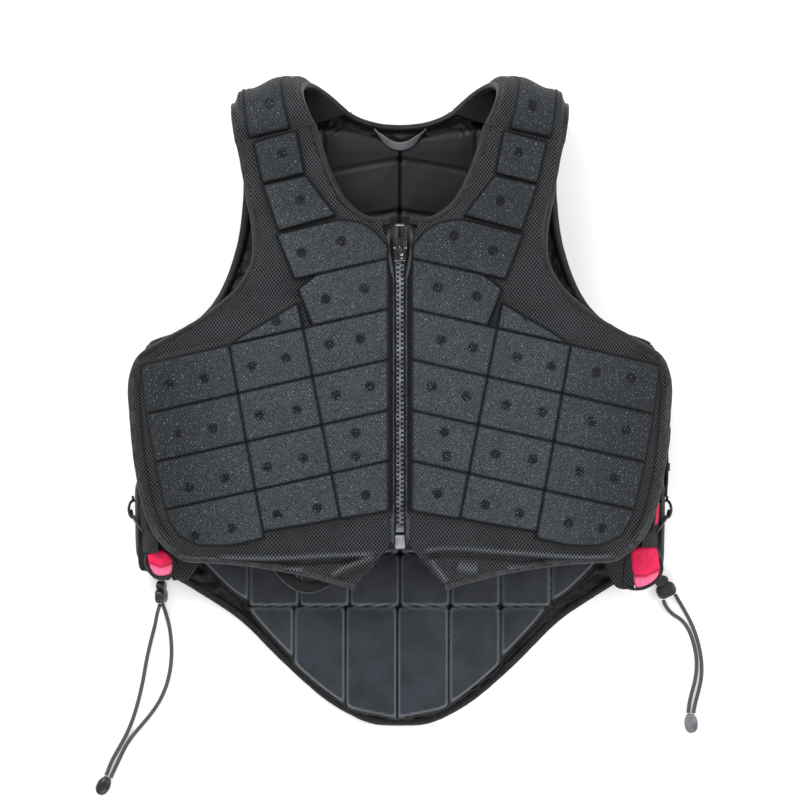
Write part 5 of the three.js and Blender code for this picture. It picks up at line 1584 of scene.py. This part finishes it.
def hook_wire(side, way):
    part = Part()
    line = dense(array((250.5, -98, 33), (249, -104, 34), (244.5, -111, 37), (238.5, -119, 40)), 10)
    swept(part, line, oval(2.7, 2.4, 12), size=ball_ends(line))
    ride(part.made(f"ring_hook_{side}_wire", BLACK_PLASTIC, way), slot="black_plastic")


def folded_strap():
    sliver = Part()
    outline = array((239.9, -90), (240.4, -98), (238.9, -111), (233.5, -110.5), (236, -100))
    pillow(sliver, closed_curve(outline, 50), 37.5, 40.5, 1.0, 0.4)
    ride(sliver.made("side_lining_l_pink", PINK), slot="pink_fabric")
    part = Part()
    route = [(246.5, -12, 38), (249.2, -20, 36), (249.2, -34, 35), (247.6, -44, 34.5), (247.8, -52, 34)]
    route = centripetal(route + [(248, -64, 33.5), (247, -86, 32)])
    line = resampled(route, 60)
    swept(part, line, oval(3.8, 13, 16, 0.8), size=1 + 0.12 * noise(line[:, 1], line[:, 2], 6, 14))
    rounded_box(part, (248.6, -58.5, 33), (5, 8, 10), 1.0)
    ride(part.made("side_strap_l_folded", WEBBING), slot="webbing")


def tab(side, way):
    move = array(*TAB_MOVE[side])
    outline = closed_curve(array(*TAB) + move, 84)
    part = Part()
    pillow(part, outline, 27.6, 36.2, 3.4, 1.6, 14)
    places = part.places[0]
    x, y = places[:, 0], places[:, 1]
    patch = array(*TAB_PATCH[side])
    patch = closed_curve(lerp(patch, patch.mean(0), -0.1), 60)
    inside = depth_in(patch, x, y, 1.0)
    fold_away, _ = distance_to(array(*TAB_CREASE[side]), x, y)
    top = places[:, 2] > 30
    dip = 1.6 * np.exp(-((fold_away / 1.6) ** 2)) + 1.6 * smooth(inside, 0.6, -0.8)
    places[:, 2] -= np.where(top, dip - 0.6 * noise(x, y, 8, 13), 0)
    crease = np.array(sorted(TAB_CREASE[side]))
    below = np.interp(x, crease[:, 0], crease[:, 1]) - y
    caps = [len(p) for p in part.places[1:]]
    for name, on_faces, on_caps in (
        ("seam", np.where(top, np.exp(-((fold_away / 0.8) ** 2)), 0), 0.0),
        ("pale", smooth(below, -0.5, 4) * top, 0.0),
        ("cover", smooth(inside, 0.2, -0.5), 1.0),
    ):
        part.values[name] = [on_faces, *(np.full(n, on_caps) for n in caps)]
    piece = part.made(f"side_tab_{side}_padded", PINK, way)
    ride(piece, f"side_tab_{side}", slot="pink_fabric")
    end = Part()
    outline = closed_curve(array(*TAB_END) + move, 84)
    pillow(end, outline, 28, 34.8, 2.6, 0.9, 12)
    piece = end.made(f"side_tab_end_{side}_net", NET, way)
    ride(piece, f"side_tab_end_{side}", slot="mesh")


# Hem loop, hanging loop and label


def arc_line(start, end, sag, count, height):
    t = np.linspace(0, 1, count)
    y = lerp(start[1], end[1], t) - sag * 4 * t * (1 - t)
    return points_at(lerp(start[0], end[0], t), y, height(np.minimum(t, 1 - t)))


def hem_loop():
    part = Part()
    line = arc_line((-113, -150.5), (-62, -159), 15, 60, lambda t: np.full(t.shape, 65.4))
    _, across, rise = frames(line)
    # The ribbon is wide and near black so that it fills the loop's opening: partly the loop itself, partly a
    # dark sheet standing in for the shade inside it.
    swept(part, line + across * -2.0, oval(9.5, 2.4, 16, 0.7))
    ride(part.made("hem_loop_woven", BLACK_RIBBON), "hem_loop", slot="webbing")
    rim = Part()
    swept(rim, line + across * 3.1 + rise * 0.8, oval(1.4, 1.5, 8), ends=False)
    ride(rim.made("hem_loop_rim", FOLD), slot="grey_ribbon")


def hanging_loop():
    part = Part()
    line = arc_line((-24, 258.6), (24, 258.6), 17.5, 70, lambda t: lerp(8.7, 23.4, smooth(t, 0, 0.22)))
    lean = np.sin(np.linspace(0, math.pi, 70)) ** 1.5 * math.radians(52)
    swept(part, line, oval(1.2, 8, 14, 0.6), roll=lean)
    ride(part.made("hanging_loop_ribbon", GREY_RIBBON), "hanging_loop", slot="grey_ribbon")


def label():
    low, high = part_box("neck_label")
    centre = (array(*low) + array(*high)) / 2 * 1000
    size = (array(*high) - array(*low)) * 1000
    x, y = np.meshgrid(np.linspace(-0.5, 0.5, 25) * size[0], np.linspace(-0.5, 0.5, 15) * size[1])
    z = 0.35 * np.cos(x / size[0] * 3) + 0.1 * noise(x, y, 3, 14)
    part = Part()
    top = points_at(x, y, z + size[2] / 2 - 0.2) + centre
    low = points_at(x, y, -size[2] / 2) + centre
    part.grid(top, facing=UP)
    part.grid(low, facing=-UP)
    walls(part, top, low, END_EDGES + SIDE_EDGES)
    ride(part.made("neck_label_blank", LABEL), "neck_label", slot="binding")
    for way in (1, -1):
        line = points_at(way * size[0] * 0.44, np.linspace(-0.45, 0.45, 20) * size[1], size[2] / 2 + 0.1)
        stitched(THREADS, line + centre, 2.2, 1.6, 0.25)


back_panel()
for side, way in SIDES:
    front_panel(side, way)
    shoulder(side, way)
    gusset(side, way)
    webbing(side, way)
    ring_hook(side, way)
    lace(side, way)
    tab(side, way)
    side_strap(side, way)
    hook_wire(side, way)
bindings()
zip_tapes()
for side, way in SIDES:
    folded_edge(side, way)
zip_chain()
zip_slider()
zip_pull()
zip_box()
hem_loop()
folded_strap()
hanging_loop()
label()
ride(THREADS.made("seam_stitches", THREAD), slot="binding")

# Floor and light


def floor():
    mesh = bpy.data.meshes.new("floor")
    half = 6
    corners = [(-half, -half, 0), (half, -half, 0), (half, half, 0), (-half, half, 0)]
    mesh.from_pydata(corners, [], [(0, 1, 2, 3)])
    piece = bpy.data.objects.new("floor", mesh)
    bpy.context.scene.collection.objects.link(piece)
    look = Look("floor", Roughness=0.9, Specular_IOR_Level=0.1)
    look.set(Emission_Color=(1, 1, 1, 1), Emission_Strength=0.3)
    look.set(Base_Color=look.mix(look.grain(400, 2), colour(236, 236, 236), colour(240, 240, 240)))
    mesh.materials.append(look.material)


def lamp(name, place_at, aim, size, power):
    light = bpy.data.objects.new(name, bpy.data.lights.new(name, "AREA"))
    bpy.context.scene.collection.objects.link(light)
    light.data.shape = "RECTANGLE"
    light.data.size, light.data.size_y = size
    light.data.energy = power
    light.location = place_at
    light.rotation_euler = (Vector(aim) - Vector(place_at)).to_track_quat("-Z", "Y").to_euler()


floor()
lamp("key", (-1.3, 1.9, 2.1), (0, 0, 0), (1.6, 1.2), 62)
lamp("fill", (1.9, 0.4, 1.9), (0, 0, 0), (1.4, 1.6), 26)
lamp("low", (0.2, -2.2, 1.5), (0, 0, 0), (2.0, 0.8), 20)
world = bpy.data.worlds.new("studio")
bpy.context.scene.world = world
world.use_nodes = True
world.node_tree.nodes["Background"].inputs["Color"].default_value = (1, 1, 1, 1)
world.node_tree.nodes["Background"].inputs["Strength"].default_value = 0.62
bpy.context.scene.view_settings.view_transform = "Standard"

bpy.context.view_layer.update()
